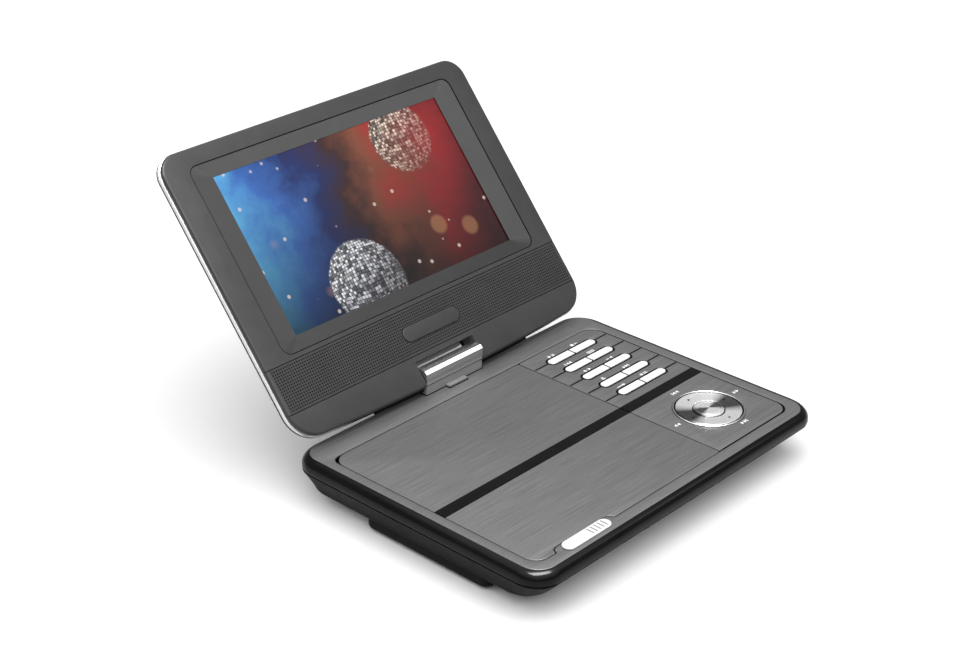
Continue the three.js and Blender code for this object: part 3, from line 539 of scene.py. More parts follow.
def lid_outline(shape, inset=0.0):
    """The screen's outline: tight corners at the top, wide ones at a foot that bows up towards them."""
    half = shape["x"] - inset
    low = shape["foot"] + inset
    rise = low + BOW
    a = max(shape["foot_r"] - inset, 3)
    b = max(shape["top_r"] - inset, 3)
    top = shape["top"] - inset
    return (
        arc(-half + a, rise + a, a, 180, 270)
        + foot_bow(half - a, low)
        + arc(half - a, rise + a, a, 270, 360)
        + arc(half - b, top - b, b, 0, 90)
        + arc(-half + b, top - b, b, 90, 180)
    )


def catmull_rom(p, q, r, s, t):
    """The number a share t of the way from q to r, on a smooth curve from p to s."""
    bend = (2 * p - 5 * q + 4 * r - s) * t * t
    return 0.5 * (2 * q + (r - p) * t + bend + (3 * q - p - 3 * r + s) * t**3)


def eased(rows, steps=4):
    """Rows of numbers with smooth steps put in between them."""
    out = []
    last = len(rows) - 1
    for i in range(last):
        a, b, c, d = rows[max(i - 1, 0)], rows[i], rows[i + 1], rows[min(i + 2, last)]
        for k in range(steps):
            t = k / steps
            out.append(tuple(catmull_rom(*four, t) for four in zip(a, b, c, d)))
    out.append(tuple(rows[last]))
    return out


def round_over(z, radius, steps=6, start=0.0):
    """(height, inset) pairs up a quarter round that ends at height z."""
    angles = [math.pi / 2 * i / steps for i in range(steps + 1)]
    return [(z - radius + radius * math.sin(a), start + radius * (1 - math.cos(a))) for a in angles]


# ---- solids ----
def new_object(name, verts, faces):
    mesh = bpy.data.meshes.new(name)
    mesh.from_pydata([Vector(v) * MM for v in verts], [], faces)
    return add_object(name, mesh)


def belt(count, low, high):
    """Faces between two rings of points, whose first points have the numbers low and high."""
    return [(low + i, low + (i + 1) % count, high + (i + 1) % count, high + i) for i in range(count)]


def loft(name, layers):
    """A closed skin over a stack of (outline, height) layers that have equal numbers of points."""
    count = len(layers[0][0])
    verts = [(x, y, z) for points, z in layers for x, y in points]
    faces = [tuple(reversed(range(count))), tuple(range(len(verts) - count, len(verts)))]
    for row in range(len(layers) - 1):
        faces += belt(count, row * count, (row + 1) * count)
    return new_object(name, verts, faces)


def prism(name, outline, z0, z1):
    return loft(name, [(outline, z0), (outline, z1)])


def block(name, x0, x1, y0, y1, z0, z1):
    return prism(name, [(x0, y0), (x1, y0), (x1, y1), (x0, y1)], z0, z1)


def hoop(name, layers):
    """A closed ring: each (outline, height) layer joins the next, and the last one the first."""
    count = len(layers[0][0])
    verts = [(x, y, z) for points, z in layers for x, y in points]
    faces = []
    for row in range(len(layers)):
        faces += belt(count, row * count, (row + 1) % len(layers) * count)
    return new_object(name, verts, faces)


def bar_x(name, y, z, r, x0, x1, steps=32):
    bar = prism(name, circle(0, 0, r, steps), x0, x1)
    z_to_x = Matrix(((0, 0, 1, 0), (1, 0, 0, 0), (0, 1, 0, 0), (0, 0, 0, 1)))
    bar.data.transform(Matrix.Translation(Vector((0, y, z)) * MM) @ z_to_x)
    return bar


def lathe(name, profile, steps=96):
    """A closed (radius, height) profile turned about Z; points on the axis are shared."""
    verts, rings = [], []
    for r, z in profile:
        if r < 1e-6:
            rings.append([len(verts)] * steps)
            verts.append((0, 0, z))
        else:
            rings.append(list(range(len(verts), len(verts) + steps)))
            verts += [(x, y, z) for x, y in circle(0, 0, r, steps)]
    faces = []
    for low, high in zip(rings, rings[1:] + rings[:1]):
        for i in range(steps):
            j = (i + 1) % steps
            face = list(dict.fromkeys((low[i], low[j], high[j], high[i])))
            if len(face) > 2:
                faces.append(face)
    return new_object(name, verts, faces)


def final_mesh(piece):
    """A mesh of a curve, or of a mesh with its modifiers."""
    return bpy.data.meshes.new_from_object(piece.evaluated_get(bpy.context.evaluated_depsgraph_get()))


def plate(name, outlines, z0, z1, bevel, rounds=3):
    """A flat sheet: the first outline is its edge and the rest are holes, all with rounded rims."""
    curve = bpy.data.curves.new(name, "CURVE")
    curve.dimensions = "2D"
    curve.fill_mode = "BOTH"
    for outline in outlines:
        spline = curve.splines.new("POLY")
        spline.points.add(len(outline) - 1)
        for point, (x, y) in zip(spline.points, outline):
            point.co = (x * MM, y * MM, 0, 1)
        spline.use_cyclic_u = True
    curve.extrude = ((z1 - z0) / 2 - bevel) * MM
    curve.bevel_depth = bevel * MM
    curve.bevel_resolution = rounds
    curve.offset = -bevel * MM
    drawn = add_object(name, curve)
    mesh = final_mesh(drawn)
    bpy.data.objects.remove(drawn)
    mesh.transform(Matrix.Translation((0, 0, (z0 + z1) / 2 * MM)))
    work = bmesh.new()
    work.from_mesh(mesh)
    bmesh.ops.remove_doubles(work, verts=work.verts, dist=0.002 * MM)
    bmesh.ops.recalc_face_normals(work, faces=work.faces)
    work.to_mesh(mesh)
    work.free()
    return add_object(name, mesh)


def settle(piece):
    """Turns a piece's modifiers into its mesh."""
    mesh = final_mesh(piece)
    piece.modifiers.clear()
    piece.data = mesh
    return piece


def combine(body, operation, tools):
    for tool in tools:
        step = body.modifiers.new("combine", "BOOLEAN")
        step.operation = operation
        step.solver = "MANIFOLD"
        step.object = tool
    settle(body)
    for tool in tools:
        bpy.data.objects.remove(tool)
    return body


def carve(body, *tools):
    return combine(body, "DIFFERENCE", tools)


def weld(body, *tools):
    return combine(body, "UNION", tools)


def soften(piece, width=0.2, rounds=2, angle=35):
    """Rounds the sharp edges that are left, as a mould would."""
    edge = piece.modifiers.new("edge", "BEVEL")
    edge.width = width * MM
    edge.segments = rounds
    edge.limit_method = "ANGLE"
    edge.angle_limit = math.radians(angle)
    edge.harden_normals = True
    return piece


def place(piece, at, body, slot, paint, *nodes, sharp=28):
    """Puts a drawn piece where it belongs, with its finish, its body and the CAD nodes that it stands for.

    The turn goes into the mesh, so that a finish can count on the piece's axes being the world's.
    """
    mesh = piece.data
    mesh.materials.clear()
    mesh.materials.append(PAINTS[paint])
    mesh.shade_smooth()
    mesh.set_sharp_from_angle(angle=math.radians(sharp))
    mesh.transform(at.to_3x3().to_4x4())
    piece.matrix_world = Matrix.Translation(at.translation)
    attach(piece, body)
    if nodes:
        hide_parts(*nodes)
    return piece


def darken(piece, at, body):
    """Places a dark piece: painted shade in a gap or along a shadow, or a dark seam or rule."""
    place(piece, at, body, "gloss_black", "void")


# ---- base: cases ----
def case_outline(side, front, back, r):
    limits = (-CASE["x"] + side, CASE["x"] - side, CASE["front"] + front, CASE["back"] - back)
    return box_outline(limits, r)


def case_tub(name, inward, z0, z1):
    rows = eased(
        [
            (7, 5.4, 11.6, 7),
            (7.8, 4.3, 9.8, 5.6),
            (10.6, 3.4, 7, 4.2),
            (16.6, 0.9, 1.5, 1),
            (17.4, 0.5, 0.9, 0.6),
            (SEAM_Z, 1, 1.5, 1.1),
        ]
    )
    last = len(rows) - 1
    layers = []
    for i, (z, side, front, back) in enumerate(rows):
        outline = case_outline(side + inward, front + inward, back + inward, CASE["r"] - 1.5 - inward / 2)
        layers.append((outline, z0 if i == 0 else z1 if i == last else z))
    return loft(name, layers)


def at_screws(name, r, z0, z1, steps=32):
    return [prism(name, circle(x, y, r, steps), z0, z1) for x, y in CASE_SCREWS]


def lower_case():
    tub = carve(case_tub("lower_case", 0, 7, SEAM_Z), case_tub("inside", 2, 8.8, SEAM_Z + 1))
    bulge = [(1.5, 2.4), (1.7, 1.5), (2.2, 0.7), (3, 0.2), (3.9, 0), (8.4, 0)]
    weld(
        tub,
        loft("bulge", [(box_outline(BULGE, 5, inset), z) for z, inset in bulge]),
        *[prism("leg", circle(x, y, 7), 1.4, 8.4) for x, y in FEET[1::2]],
        *at_screws("boss", 3.6, 8, 17.6),
    )
    carve(
        tub,
        block("battery_bay", -68.5, 68.5, -37, 27, 3.1, 10),
        prism("cover_bay", box_outline((-70, 70, -38.5, 28.5), 3), 1, 3.1),
        block("end_pocket_left", -99, -72.5, -41.5, 31.5, 3.6, 10),
        block("end_pocket_right", 72.5, 99, -41.5, 31.5, 3.6, 10),
        *[prism("pad_recess", circle(x, y, 5.7), 0, 2.2) for x, y in FEET],
        *at_screws("screw_head", 2.8, 6, 9.3),
        *at_screws("screw_hole", 1.5, 8, 19, 24),
        *[bar_x("socket_hole", y, JACK_Z, 3.1, 98, 110) for y in JACK_YS],
        block("switch_slot", 98, 110, SWITCH["y"] - 2.4, SWITCH["y"] + 2.4 + SWITCH["travel"], 11.9, 15.1),
    )
    place(tub, BASE, "base", "satin_black", "satin", "bottom_case")


def upper_case():
    """The glossy rim: a soft quarter round up to the deck."""
    rows = [(18.3, 0.6), (18.45, 0.25), (18.7, 0.06), (19, 0)]
    reach, rise, start = 4.2, 4.8, 20.2
    for i in range(1, 13):
        z = start + 4.7 * math.sin(math.pi / 2 * i / 12)
        rows.append((z, reach * (1 - math.sqrt(1 - ((z - start) / rise) ** 2))))
    shell = loft("upper_case", [(case_outline(a, a, a, CASE["r"] - a / 3), z) for z, a in rows])
    pocket = (-DECK["x"] - 0.2, DECK["x"] + 0.2, DECK_FRONT - 0.2, DECK["back"] + 0.2)
    carve(
        shell,
        prism("deck_pocket", box_outline(pocket, DECK["r"]), SHELF_Z, CLEAR_Z),
        prism("cavity", case_outline(2.4, 2.4, 2.4, CASE["r"] - 2), 17, 20.4),
    )
    weld(
        shell,
        *at_screws("boss", 3.6, SEAM_Z + 0.4, 21),
        prism("pivot_boss", circle(0, PIVOT["y"], 4.2, 48), SEAM_Z + 0.4, 21),
    )
    grown = (WELL[0] - 0.3, WELL[1] + 0.3, WELL[2] - 0.3, WELL[3] + 0.3)
    carve(
        shell,
        prism("opening", box_outline(OPENING, OPENING_ROUND), LEDGE_Z, CLEAR_Z),
        prism("well_hole", box_outline(grown, 6), 17, CLEAR_Z),
        prism("panel_hole", box_outline((41, 92.6, -65.5, 57.5), 5), 17, CLEAR_Z),
    )
    tongue = filleted([(x, y - (i in (0, 5)), 0.4) for i, (x, y) in enumerate(TONGUE)], 3)
    weld(
        shell,
        block("cheek", 37, 39.3, 56.2, 59.2, 21.5, 23.7),
        prism("tongue", tongue, 22.3, SHELF_Z),
    )
    low, high, bed = PIN["y"] - PIN["r"] - 0.05, PIN["y"] + PIN["r"] + 0.05, PIN["z"] - PIN["r"] - 0.05
    carve(
        shell,
        block("pin_slot_left", -99.6, -93, low, high, bed, CLEAR_Z),
        block("pin_slot_right", 36, 39, low, high, bed, CLEAR_Z),
        block("hinge_trough", DOOR[0] - 0.2, DOOR[1] + 0.3, WELL[3] - 0.2, OPENING[3], 19, LEDGE_Z + 0.2),
        block("slider_slot", *SLIDER_SLOT, 17, CLEAR_Z),
        prism("pivot_hole", circle(0, PIVOT["y"], PIVOT["r"] + 0.06, 48), 17, CLEAR_Z),
        *at_screws("screw_hole", 1.5, 18, 21.5, 24),
    )
    place(shell, BASE, "base", "gloss_black", "gloss", "top_case")


def deck():
    edge = box_outline((-DECK["x"], DECK["x"], DECK_FRONT, DECK["back"]), DECK["r"] - 0.2)
    holes = [around_tongue(OPENING, OPENING_ROUND), box_outline(SLIDER_SLOT, 0.3, steps=3)]
    sheet = plate("deck", [edge, *holes], DECK_Z - DECK["thick"], DECK_Z, 0.3)
    # the swivel's hole runs out close to the plate's back edge, so it is cut rather than drawn
    carve(sheet, prism("pivot_hole", circle(0, PIVOT["y"], PIVOT["r"] + 0.4, 32), 22, CLEAR_Z))
    place(sheet, BASE, "base", "brushed_grey", "brushed", "deck_plate")


# ---- base: door and control panel ----
def stripe_bed():
    front, back, depth = STRIPE
    return block("stripe_bed", -110, 110, front - 0.05, back + 0.05, DECK_Z - depth - 0.05, CLEAR_Z)


def door():
    skin = plate("door_top", [around_tongue(DOOR, (8, 1, 1, 8), 0.4)], 23.9, DECK_Z, 0.25)
    carve(skin, stripe_bed())
    place(skin, BASE, "door", "brushed_grey", "brushed", "door_skin")


def key_outline(y, grow, steps=ARC):
    half = KEY["wide"] / 2 + grow
    return box_outline((KEY["x0"] - grow, KEY["x1"] + grow, y - half, y + half), half - 0.02, steps=steps)


def panel():
    radii = (1, 8, 8, 1)
    holes = [key_outline(y, KEY["moat"]) for y in KEY_ROWS]
    holes.append(circle(NAV["x"], NAV["y"], NAV["rim"] + 0.15, 96))
    sheet = plate("panel_top", [box_outline(PANEL, radii), *holes], 22.3, DECK_Z, 0.12)
    carve(sheet, stripe_bed(), block("hinge_pocket", 36, 39.7, 55.8, 59.6, 21, 24))
    place(sheet, BASE, "base", "brushed_grey", "brushed", "control_panel")
    for i, y in enumerate(KEY_ROWS):
        key_shades(i + 1, y)
    # painted shade: a dark strip in the groove along the panel's right side and front
    limits = (PANEL[0] - 0.2, OPENING[1] - 0.05, OPENING[2] + 0.05, PANEL[3] + 0.3)
    outlines = [box_outline(limits, radii), box_outline(PANEL, radii, -0.03)]
    shade_strip = plate("panel_groove_shade", outlines, 22.1, 24.85, 0.02)
    carve(
        shade_strip,
        block("door_side", 30, 40, -80, 70, 20, CLEAR_Z),
        block("hinge_side", 30, 100, 52, 70, 20, CLEAR_Z),
    )
    darken(shade_strip, BASE, "base")


def key_shades(number, y):
    """Painted shade in the moat round a pair of keys and in the split between them, and the dark rules that
    run out from them.
    """
    bed = 22.4
    rings = [key_outline(y, KEY["moat"] - 0.03), key_outline(y, 0.1)]
    darken(plate(f"key_moat_shade_{number}", rings, bed, 24.94, 0.05), BASE, "base")
    across = (KEY_MIDDLE - 0.22, KEY_MIDDLE + 0.22, y - KEY["wide"] / 2, y + KEY["wide"] / 2)
    darken(block(f"key_split_{number}", *across, bed, KEY["top"] + 0.02), BASE, "base")
    rules = {
        "left": (PANEL[0] + 0.35, KEY["x0"] - KEY["moat"]),
        "right": (KEY["x1"] + KEY["moat"], PANEL[1] - 0.35),
    }
    for side, (x0, x1) in rules.items():
        line = box_outline((x0, x1, y - 0.5, y + 0.5), 0.05, steps=2)
        darken(plate(f"key_rule_{number}_{side}", [line], 24.9, 25.03, 0.02, 1), BASE, "base")


def keys():
    half = KEY["wide"] / 2
    end, cut = half - 0.02, 0.25
    sides = {
        "left": (KEY["x0"], KEY_MIDDLE - KEY["split"] / 2, (end, cut, cut, end)),
        "right": (KEY_MIDDLE + KEY["split"] / 2, KEY["x1"], (cut, end, end, cut)),
    }
    rows = [(KEY["foot"], 0.1), *round_over(KEY["top"], 0.35, start=0.1)]
    for i, y in enumerate(KEY_ROWS):
        for side, (x0, x1, radii) in sides.items():
            name = f"key_{i + 1}_{side}"
            limits = (x0, x1, y - half, y + half)
            cap = loft(f"{name}_cap", [(box_outline(limits, radii, a), z) for z, a in rows])
            place(cap, BASE, f"{name}_body", "white_plastic", "white", name)


def navigator():
    """The round pad: bright rim, spun ring that rocks, and the button in its middle."""
    at = BASE @ Matrix.Translation(Vector((NAV["x"], NAV["y"], 0)) * MM)
    rim, ring, hole, ok = NAV["rim"], NAV["ring"], NAV["hole"], NAV["ok"]
    half_round = [math.pi * k / 8 for k in range(9)]
    crown = [(rim - 0.5 + 0.5 * math.cos(a), 25.2 + 0.5 * math.sin(a)) for a in half_round]
    rim_piece = lathe("nav_bright_rim", [(ring + 0.4, 23), (rim, 23), *crown[:-1], (ring + 0.4, 25.1)])
    place(rim_piece, at, "base", "chrome_trim", "chrome", "nav_rim")
    # painted shade: dark rings fill the gaps on either side of the spun ring
    for name, r0, r1, z in (("outer", ring - 0.2, ring + 0.38, 25.2), ("inner", ok + 0.02, hole - 0.2, 24.9)):
        gap = lathe(f"nav_gap_{name}", [(r0, 21.7), (r1, 21.7), (r1, z), (r0, z)])
        darken(gap, at, "base")
    face = [
        (hole, 22),
        (ring - 0.3, 22),
        (ring - 0.3, 25.15),
        (ring - 0.35, 25.4),
        (ring - 0.5, 25.56),
        (ring - 0.8, 25.6),
        (ring - 1.3, 25.52),
        (14, 25.36),
        (11, 25.2),
        (hole + 0.9, 25.12),
        (hole + 0.35, 25.05),
        (hole, 24.8),
    ]
    place(lathe("nav_spun_ring", face), at, "nav_ring_body", "spun_metal", "spun", "nav_ring")
    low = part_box("ok_button")[0].z / MM
    edge = [(ok, 25.3), (ok - 0.15, 25.6), (ok - 0.5, 25.75)]
    dome = [*edge, (6.2, 25.8), (6.1, 25.55), (5.6, 25.55), (5.5, 25.82), (0, 25.9)]
    place(lathe("nav_ok", [(0, low), (ok, low), *dome]), at, "ok_body", "spun_metal", "spun_ok", "ok_button")


def open_slide():
    x, y, half, wide = SLIDER["x"], SLIDER["y"], SLIDER["long"] / 2, SLIDER["wide"] / 2
    limits = (x - half, x + half, y - wide, y + wide)
    crown = [(25.2, 0.25), (25.35, 0.05), *round_over(26.1, 0.55)]
    cap = loft("slider_cap", [(box_outline(limits, wide - 0.02, a), z) for z, a in crown])
    grips = [2, 4.4, 6.8, 9.2, 11.6]
    carve(cap, *[block("groove", x + g, x + g + 0.8, y - 2.3, y + 2.3, 25.8, 27) for g in grips])
    weld(
        cap,
        block("stem", x - 6, x + 6, y - 2.2, y + 0.8, 19.6, 25.5),
        block("retainer", x - 7.5, x + 7.5, y - 3, y + 0.8, 18.8, 19.9),
    )
    place(cap, BASE, "slider", "white_plastic", "white", "open_slider")
    for i, g in enumerate(grips):
        rib = box_outline((x + g + 0.02, x + g + 0.78, y - 2.28, y + 2.28), 0.1, steps=3)
        bar = prism(f"slider_grip_{i + 1}", rib, 25.7, 26.2)
        place(soften(bar, 0.1), BASE, "slider", "hinge_grey", "grip")


# ---- printed marks ----
def triangle(x, y, size, turn=0.0):
    corners = [math.radians(a + turn) for a in (0, 120, 240)]
    return [(x + size * math.cos(a), y + size * math.sin(a)) for a in corners]


def dash(x, y, w, h):
    return [(x - w / 2, y - h / 2), (x + w / 2, y - h / 2), (x + w / 2, y + h / 2), (x - w / 2, y + h / 2)]


def symbol(kind, x, y):
    """The outlines of one of ten plain transport and menu symbols, about 6 mm wide."""
    return (
        [triangle(x - 1.2, y, 1.3), dash(x + 1.3, y, 0.55, 2), dash(x + 2.4, y, 0.55, 2)],
        [dash(x - 1.2, y, 1.9, 1.9), dash(x + 1.6, y, 2.2, 0.5)],
        [dash(x - 2, y, 0.55, 2), triangle(x, y, 1.2, 180), triangle(x + 2, y, 1.2, 180)],
        [dash(x, y + 0.8, 5.2, 0.4), dash(x, y, 5.2, 0.4), dash(x, y - 0.8, 5.2, 0.4)],
        [
            dash(x, y, 2.2, 0.5),
            dash(x, y + 0.7, 0.5, 0.9),
            dash(x, y - 0.7, 0.5, 0.9),
            triangle(x + 3, y, 1.2),
        ],
        [dash(x - 0.4, y, 2.2, 0.5), triangle(x + 2.6, y, 1.2, 180)],
        [triangle(x, y + 0.3, 1.2, 90), dash(x, y - 0.85, 2.4, 0.45)],
        [triangle(x - 1.6, y, 1.2), triangle(x + 0.4, y, 1.2), dash(x + 2, y, 0.55, 2)],
        [dash(x - 0.6, y, 4.2, 0.5), triangle(x + 2.3, y, 1.2)],
        [circle(x - 1.6, y, 0.9, 20), dash(x + 1.4, y + 0.5, 2.6, 0.45), dash(x + 1.4, y - 0.5, 2.6, 0.45)],
    )[kind]


def dab(name, outline, z, at_body="base", paint="print", slot="white_plastic"):
    """One printed mark, a few hundredths of a millimetre proud of its ground."""
    place(prism(name, outline, z - 0.06, z + 0.04), BASE, at_body, slot, paint)


def print_marks():
    """Plain symbols behind each key half, round the pad and on its ring."""
    for row, y in enumerate(KEY_ROWS):
        for side, x in enumerate((54.5, 73)):
            for k, shape in enumerate(symbol(2 * row + side, x, y + 4.75)):
                dab(f"key_mark_{row + 1}_{side + 1}_{k + 1}", shape, DECK_Z)
    skips = (
        ("back", 68.2, -17.6, 180, True),
        ("right", 89.7, -39, 0, False),
        ("left", 42.6, -38.5, 180, False),
        ("front", 67.1, -60.3, 0, True),
    )
    for name, x, y, turn, to_end in skips:
        way = 1 if turn == 0 else -1
        for k, step in enumerate((-1.1, 1.1)):
            dab(f"pad_mark_{name}_{k + 1}", triangle(x + way * step, y, 1.25, turn), DECK_Z)
        if to_end:
            dab(f"pad_mark_{name}_bar", dash(x + way * 2.7, y, 0.55, 2.1), DECK_Z)
    for k in range(4):
        turn = 90 * k
        away = Vector((math.cos(math.radians(turn)), math.sin(math.radians(turn)))) * 12.6
        mark = triangle(NAV["x"] + away.x, NAV["y"] + away.y, 0.95, turn)
        dab(f"ring_mark_{k + 1}", mark, 25.3, "nav_ring_body", "void", "gloss_black")


# ---- screen ----
def notch_space(grow=0.0):
    return block("notch", -NOTCH["x"] - grow, NOTCH["x"] + grow, -60, NOTCH["y"] + grow, -20, 10)


def shaft_bore(clearance):
    return bar_x("shaft_bore", AXIS_ON_LID[1], AXIS_ON_LID[2], TILT["r"] + clearance, -33.3, 33.3)


def lid_loft(name, shape, rows):
    return loft(name, [(lid_outline(shape, inset), z) for z, inset in rows])


def bezel():
    shell = lid_loft("bezel", BEZEL, [(-2.2, 2), (0.15, 2), (0.2, 0.3), (0.4, 0.05), *round_over(FACE, 1.2)])
    carve(shell, lid_loft("hollow", BEZEL, [(-3, 4), (-0.7, 4)]), notch_space())
    weld(
        shell,
        block("notch_lip", -22.4, 22.4, -47.5, NOTCH["y"] + 1.5, -4.4, 0.5),
        block("notch_wall", -22.4, 22.4, -41.5, NOTCH["y"] + 1.5, -7, 0.5),
        block("knuckle_left", -32, -22, -47.5, -43, -4.4, 0.5),
        block("knuckle_right", 22, 32, -47.5, -43, -4.4, 0.5),
    )
    brim, step_z = box_outline(RECESS, RECESS_ROUND), FACE - 0.45
    funnel = [
        (box_outline(PICTURE, 0.5), 0.3),
        (box_outline(RECESS, RECESS_ROUND, 0.25), step_z),
        (brim, step_z + 0.01),
        (brim, FACE + 0.01),
    ]
    x0, x1, y0, y1 = PICTURE
    speaker_holes = [block("speaker_hole", *sorted((s * 45, s * 75)), -31.5, -13.5, -3, 3) for s in (-1, 1)]
    carve(
        shell,
        notch_space(),
        loft("funnel", funnel),
        block("sight", x0, x1, y0, y1, -3, 0.4),
        block("lcd_pocket", -84, 84, -6, 93, -5, -0.1),
        block("grille_bed", -110, 110, GRILLE["y0"] - 0.45, GRILLE["y1"] + 0.45, 1.2, 3),
        *speaker_holes,
        shaft_bore(0.05),
    )
    lip = [
        (-NOTCH["x"] - 1, NOTCH["y"] + 1, 0),
        (-NOTCH["x"] - 1, LEDGE["y0"], 0),
        (LEDGE["x1"], LEDGE["y0"], 1),
        (LEDGE["x1"], NOTCH["y"] + 1, 0),
    ]
    weld(shell, prism("ledge", filleted_where(lip), LEDGE["z0"], LEDGE["z1"]))
    place(shell, LID, "screen", "bezel_grey", "bezel", "screen_bezel")


def face_lines():
    """The slopes round the picture, with painted shading, and the dark seams on the screen's face."""
    outer, inner = box_outline(RECESS, RECESS_ROUND, 0.45), box_outline(PICTURE, 0.3)
    rim = FACE - 0.42
    slopes = hoop("recess_slopes", [(inner, -0.05), (inner, 0.34), (outer, rim), (outer, rim - 0.2)])
    # each slope's lighter or darker tone is painted shading, set by the way it faces
    place(slopes, LID, "screen", "bezel_grey", "recess", sharp=0.1)
    edges = [box_outline(RECESS, RECESS_ROUND, inset) for inset in (0.02, 0.47)]
    seam = plate("recess_seam", edges, 1.3, FACE - 0.2, 0.05)
    darken(seam, LID, "screen")
    for name, y0 in (("foot", GRILLE["y0"] - 0.43), ("top", GRILLE["y1"] + 0.02)):
        line = block(f"grille_seam_{name}", -103.4, 103.4, y0, y0 + 0.41, 1.22, 1.9)
        darken(line, LID, "screen")
    x, y, r = BADGE["x"] + 0.35, BADGE["y"], BADGE["r"] + 0.35
    seam = plate("badge_seam", [box_outline((-x, x, y - r, y + r), r - 0.02)], 1.99, 2.07, 0.02)
    darken(seam, LID, "screen")


def grille():
    """A perforated strip: a sheet of square cells with round holes, thickened."""
    pitch, hole = GRILLE["pitch"], GRILLE["hole"]
    rows, columns = 15, 140
    y0 = (GRILLE["y0"] + GRILLE["y1"] - rows * pitch) / 2
    edge = [(103.1, FACE), (103.7, 1.88), (104.15, 1.6), (104.38, 1.25), (104.45, 0.9)]
    flat = [(pitch * (i - columns / 2), FACE) for i in range(columns + 1)]
    xs = [(-x, z) for x, z in reversed(edge)] + flat + edge
    ys = [GRILLE["y0"], *[y0 + pitch * j for j in range(rows + 1)], GRILLE["y1"]]
    verts = [(x, y, z) for y in ys for x, z in xs]
    wide = len(xs)
    faces = []
    for j in range(len(ys) - 1):
        for i in range(wide - 1):
            corners = (j * wide + i, j * wide + i + 1, (j + 1) * wide + i + 1, (j + 1) * wide + i)
            drilled = 1 <= j <= rows and len(edge) <= i < len(edge) + columns
            if not drilled:
                faces.append(corners)
                continue
            cx, cy = (xs[i][0] + xs[i + 1][0]) / 2, (ys[j] + ys[j + 1]) / 2
            first = len(verts)
            verts += [(x, y, FACE) for x, y in arc(cx, cy, hole, 202.5, 517.5, 7)]
            for side in range(4):
                a, b = corners[side], corners[(side + 1) % 4]
                c, d = first + (2 * side + 1), first + (2 * side + 2) % 8
                faces.append((a, b, d, c))
                faces.append((a, c, first + 2 * side))
    sheet = new_object("grille", verts, faces)
    thick = sheet.modifiers.new("thick", "SOLIDIFY")
    thick.thickness = GRILLE["thick"] * MM
    thick.offset = -1
    settle(sheet)
    place(sheet, LID, "screen", "bezel_grey", "bezel", "speaker_grille")
    cloth = block("grille_cloth", -102.5, 102.5, GRILLE["y0"] + 0.3, GRILLE["y1"] - 0.3, 1.25, 1.68)
    place(cloth, LID, "screen", "gloss_black", "cloth")


def band_and_back():
    rounded = [(-2.6, 0.3), (-2.5, 0.1), (-2.3, 0), (-0.9, 0), (-0.7, 0.1), (-0.6, 0.3)]
    ring = lid_loft("trim_band", BAND, rounded)
    carve(ring, lid_loft("inside", BAND, [(-4, 1.5), (1, 1.5)]), notch_space(), shaft_bore(0.3))
    place(ring, LID, "screen", "chrome_trim", "trim", "side_band")
    half = BAND["x"] - BAND["foot_r"]
    # painted shade: a dark strip behind the band along the screen's foot, from the notch out to 62 mm each
    # side
    strip = [(x, y - 0.9) for x, y in foot_bow(half, BAND["foot"]) if NOTCH["x"] < abs(x) < 62]
    for name, side in (("left", -1), ("right", 1)):
        low = [(x, y) for x, y in strip if x * side > 0]
        shade_strip = prism(f"foot_shade_{name}", low + [(x, y + 1.6) for x, y in reversed(low)], -2.4, -0.8)
        darken(shade_strip, LID, "screen")
    middle = [(-10.5, 18), (-10.2, 14), (-9.3, 9.5), (-7.8, 5.2)]
    edge = [(-6, 2.2), (-4.6, 0.9), (-3.8, 0.3), (-2.8, 0.1)]
    cover = lid_loft("back_shell", BAND, eased(middle + edge))
    inner = [(-9, 16.5), (-8.2, 10.5), (-6.6, 6), (-4.8, 3.2), (-2, 1.9)]
    carve(cover, lid_loft("inside", BAND, inner), notch_space(0.3), shaft_bore(0.3))
    place(cover, LID, "screen", "gloss_black", "gloss", "back_cover")


def display():
    x0, x1, y0, y1 = LCD
    glass = block("display", x0, x1, y0, y1, -4.2, -0.35)
    carve(glass, block("step", x0 - 1, x1 + 1, y0 - 1, y0 + 4, -0.75, 2))
    place(glass, LID, "screen", "screen_glass", "picture", "lcd_panel")


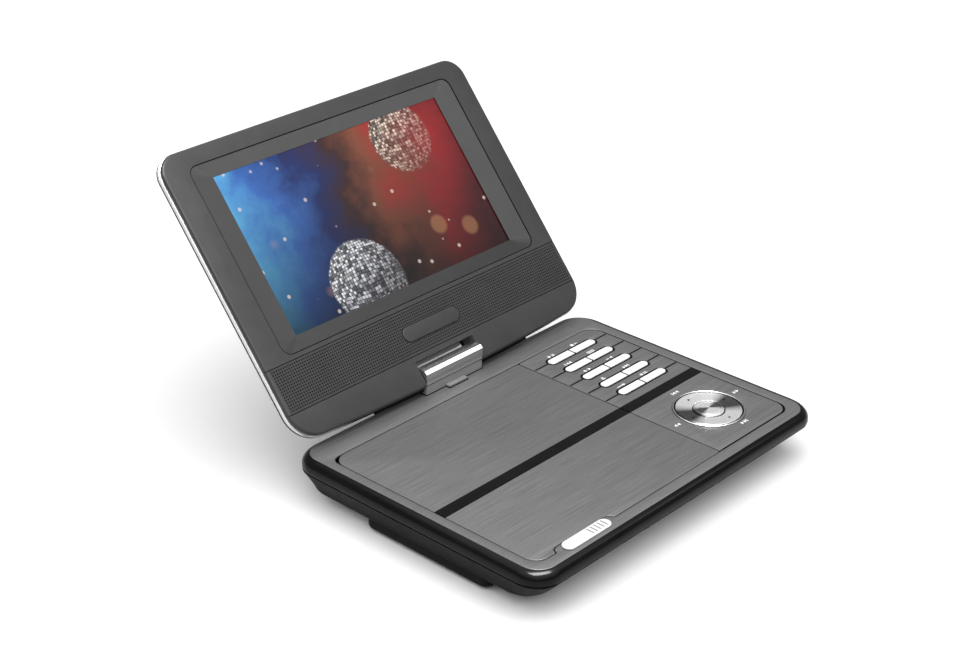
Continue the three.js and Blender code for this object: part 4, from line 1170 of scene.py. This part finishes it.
def badge():
    limits = (-BADGE["x"], BADGE["x"], BADGE["y"] - BADGE["r"], BADGE["y"] + BADGE["r"])
    rows = [(2.08, 0), *round_over(2.45, 0.3)]
    blank = loft("badge_blank", [(box_outline(limits, BADGE["r"] - 0.02, a), z) for z, a in rows])
    place(blank, LID, "screen", "bezel_grey", "bezel", "badge_plate")


# ---- hinge, and CAD pieces that stay ----
def hinge_seams():
    """The shadow gaps under the post's foot and its tab, and the dark seam across the post's front."""
    foot = box_outline((-21.1, 21.1, 70.7, 79.2), 1)
    tab = box_outline((-7.1, 7.1, 67.9, 72), 1)
    for name, outline in (("foot", foot), ("tab", tab)):
        gap = plate(f"hinge_gap_{name}", [outline], 25.03, 25.27, 0.03)
        darken(gap, BASE, "swivel")
    seam = block("hinge_seam", -20.62, 20.62, 71.06, 72, 30.2, 30.5)
    darken(seam, BASE, "swivel")


def dress_cad():
    """Finishes for the CAD pieces whose shape is right."""
    finishes = {
        "rubber": [f"foot_{n + 1}" for n in range(4)],
        "steel": [*[f"case_screw_{n + 1}" for n in range(4)], "tilt_shaft", "guide_rod_1", "guide_rod_2"],
        "satin": ("battery_cover", "door_shell", "power_switch", "nav_carrier"),
        "gloss": ("door_stripe", "panel_stripe", "dc_jack", "av_jack", "phones_jack"),
        "wrap": ("battery_pack",),
        "well": ("disc_well", "turntable", "pickup_sled"),
        "plated": ("drive_chassis", "spindle_motor", "sled_motor", "speaker_left", "speaker_right"),
        "brass": ("lead_screw",),
        "board": ("main_board", "key_board", "screen_board"),
        "hinge": ("swivel_cover",),
        "hinge_foot": ("swivel_base",),
    }
    for paint, names in finishes.items():
        for name in names:
            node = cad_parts[name]
            for slot in node.material_slots:
                slot.material = PAINTS[paint]
            if name != "lead_screw":  # a bevel would spoil the thread
                soften(node, 0.2 if paint == "hinge" else 0.12, 3)


add_camera()
add_studio()
PAINTS = make_paints()
add_floor()
lower_case()
upper_case()
deck()
door()
panel()
keys()
navigator()
open_slide()
print_marks()
bezel()
face_lines()
grille()
band_and_back()
display()
badge()
hinge_seams()
dress_cad()
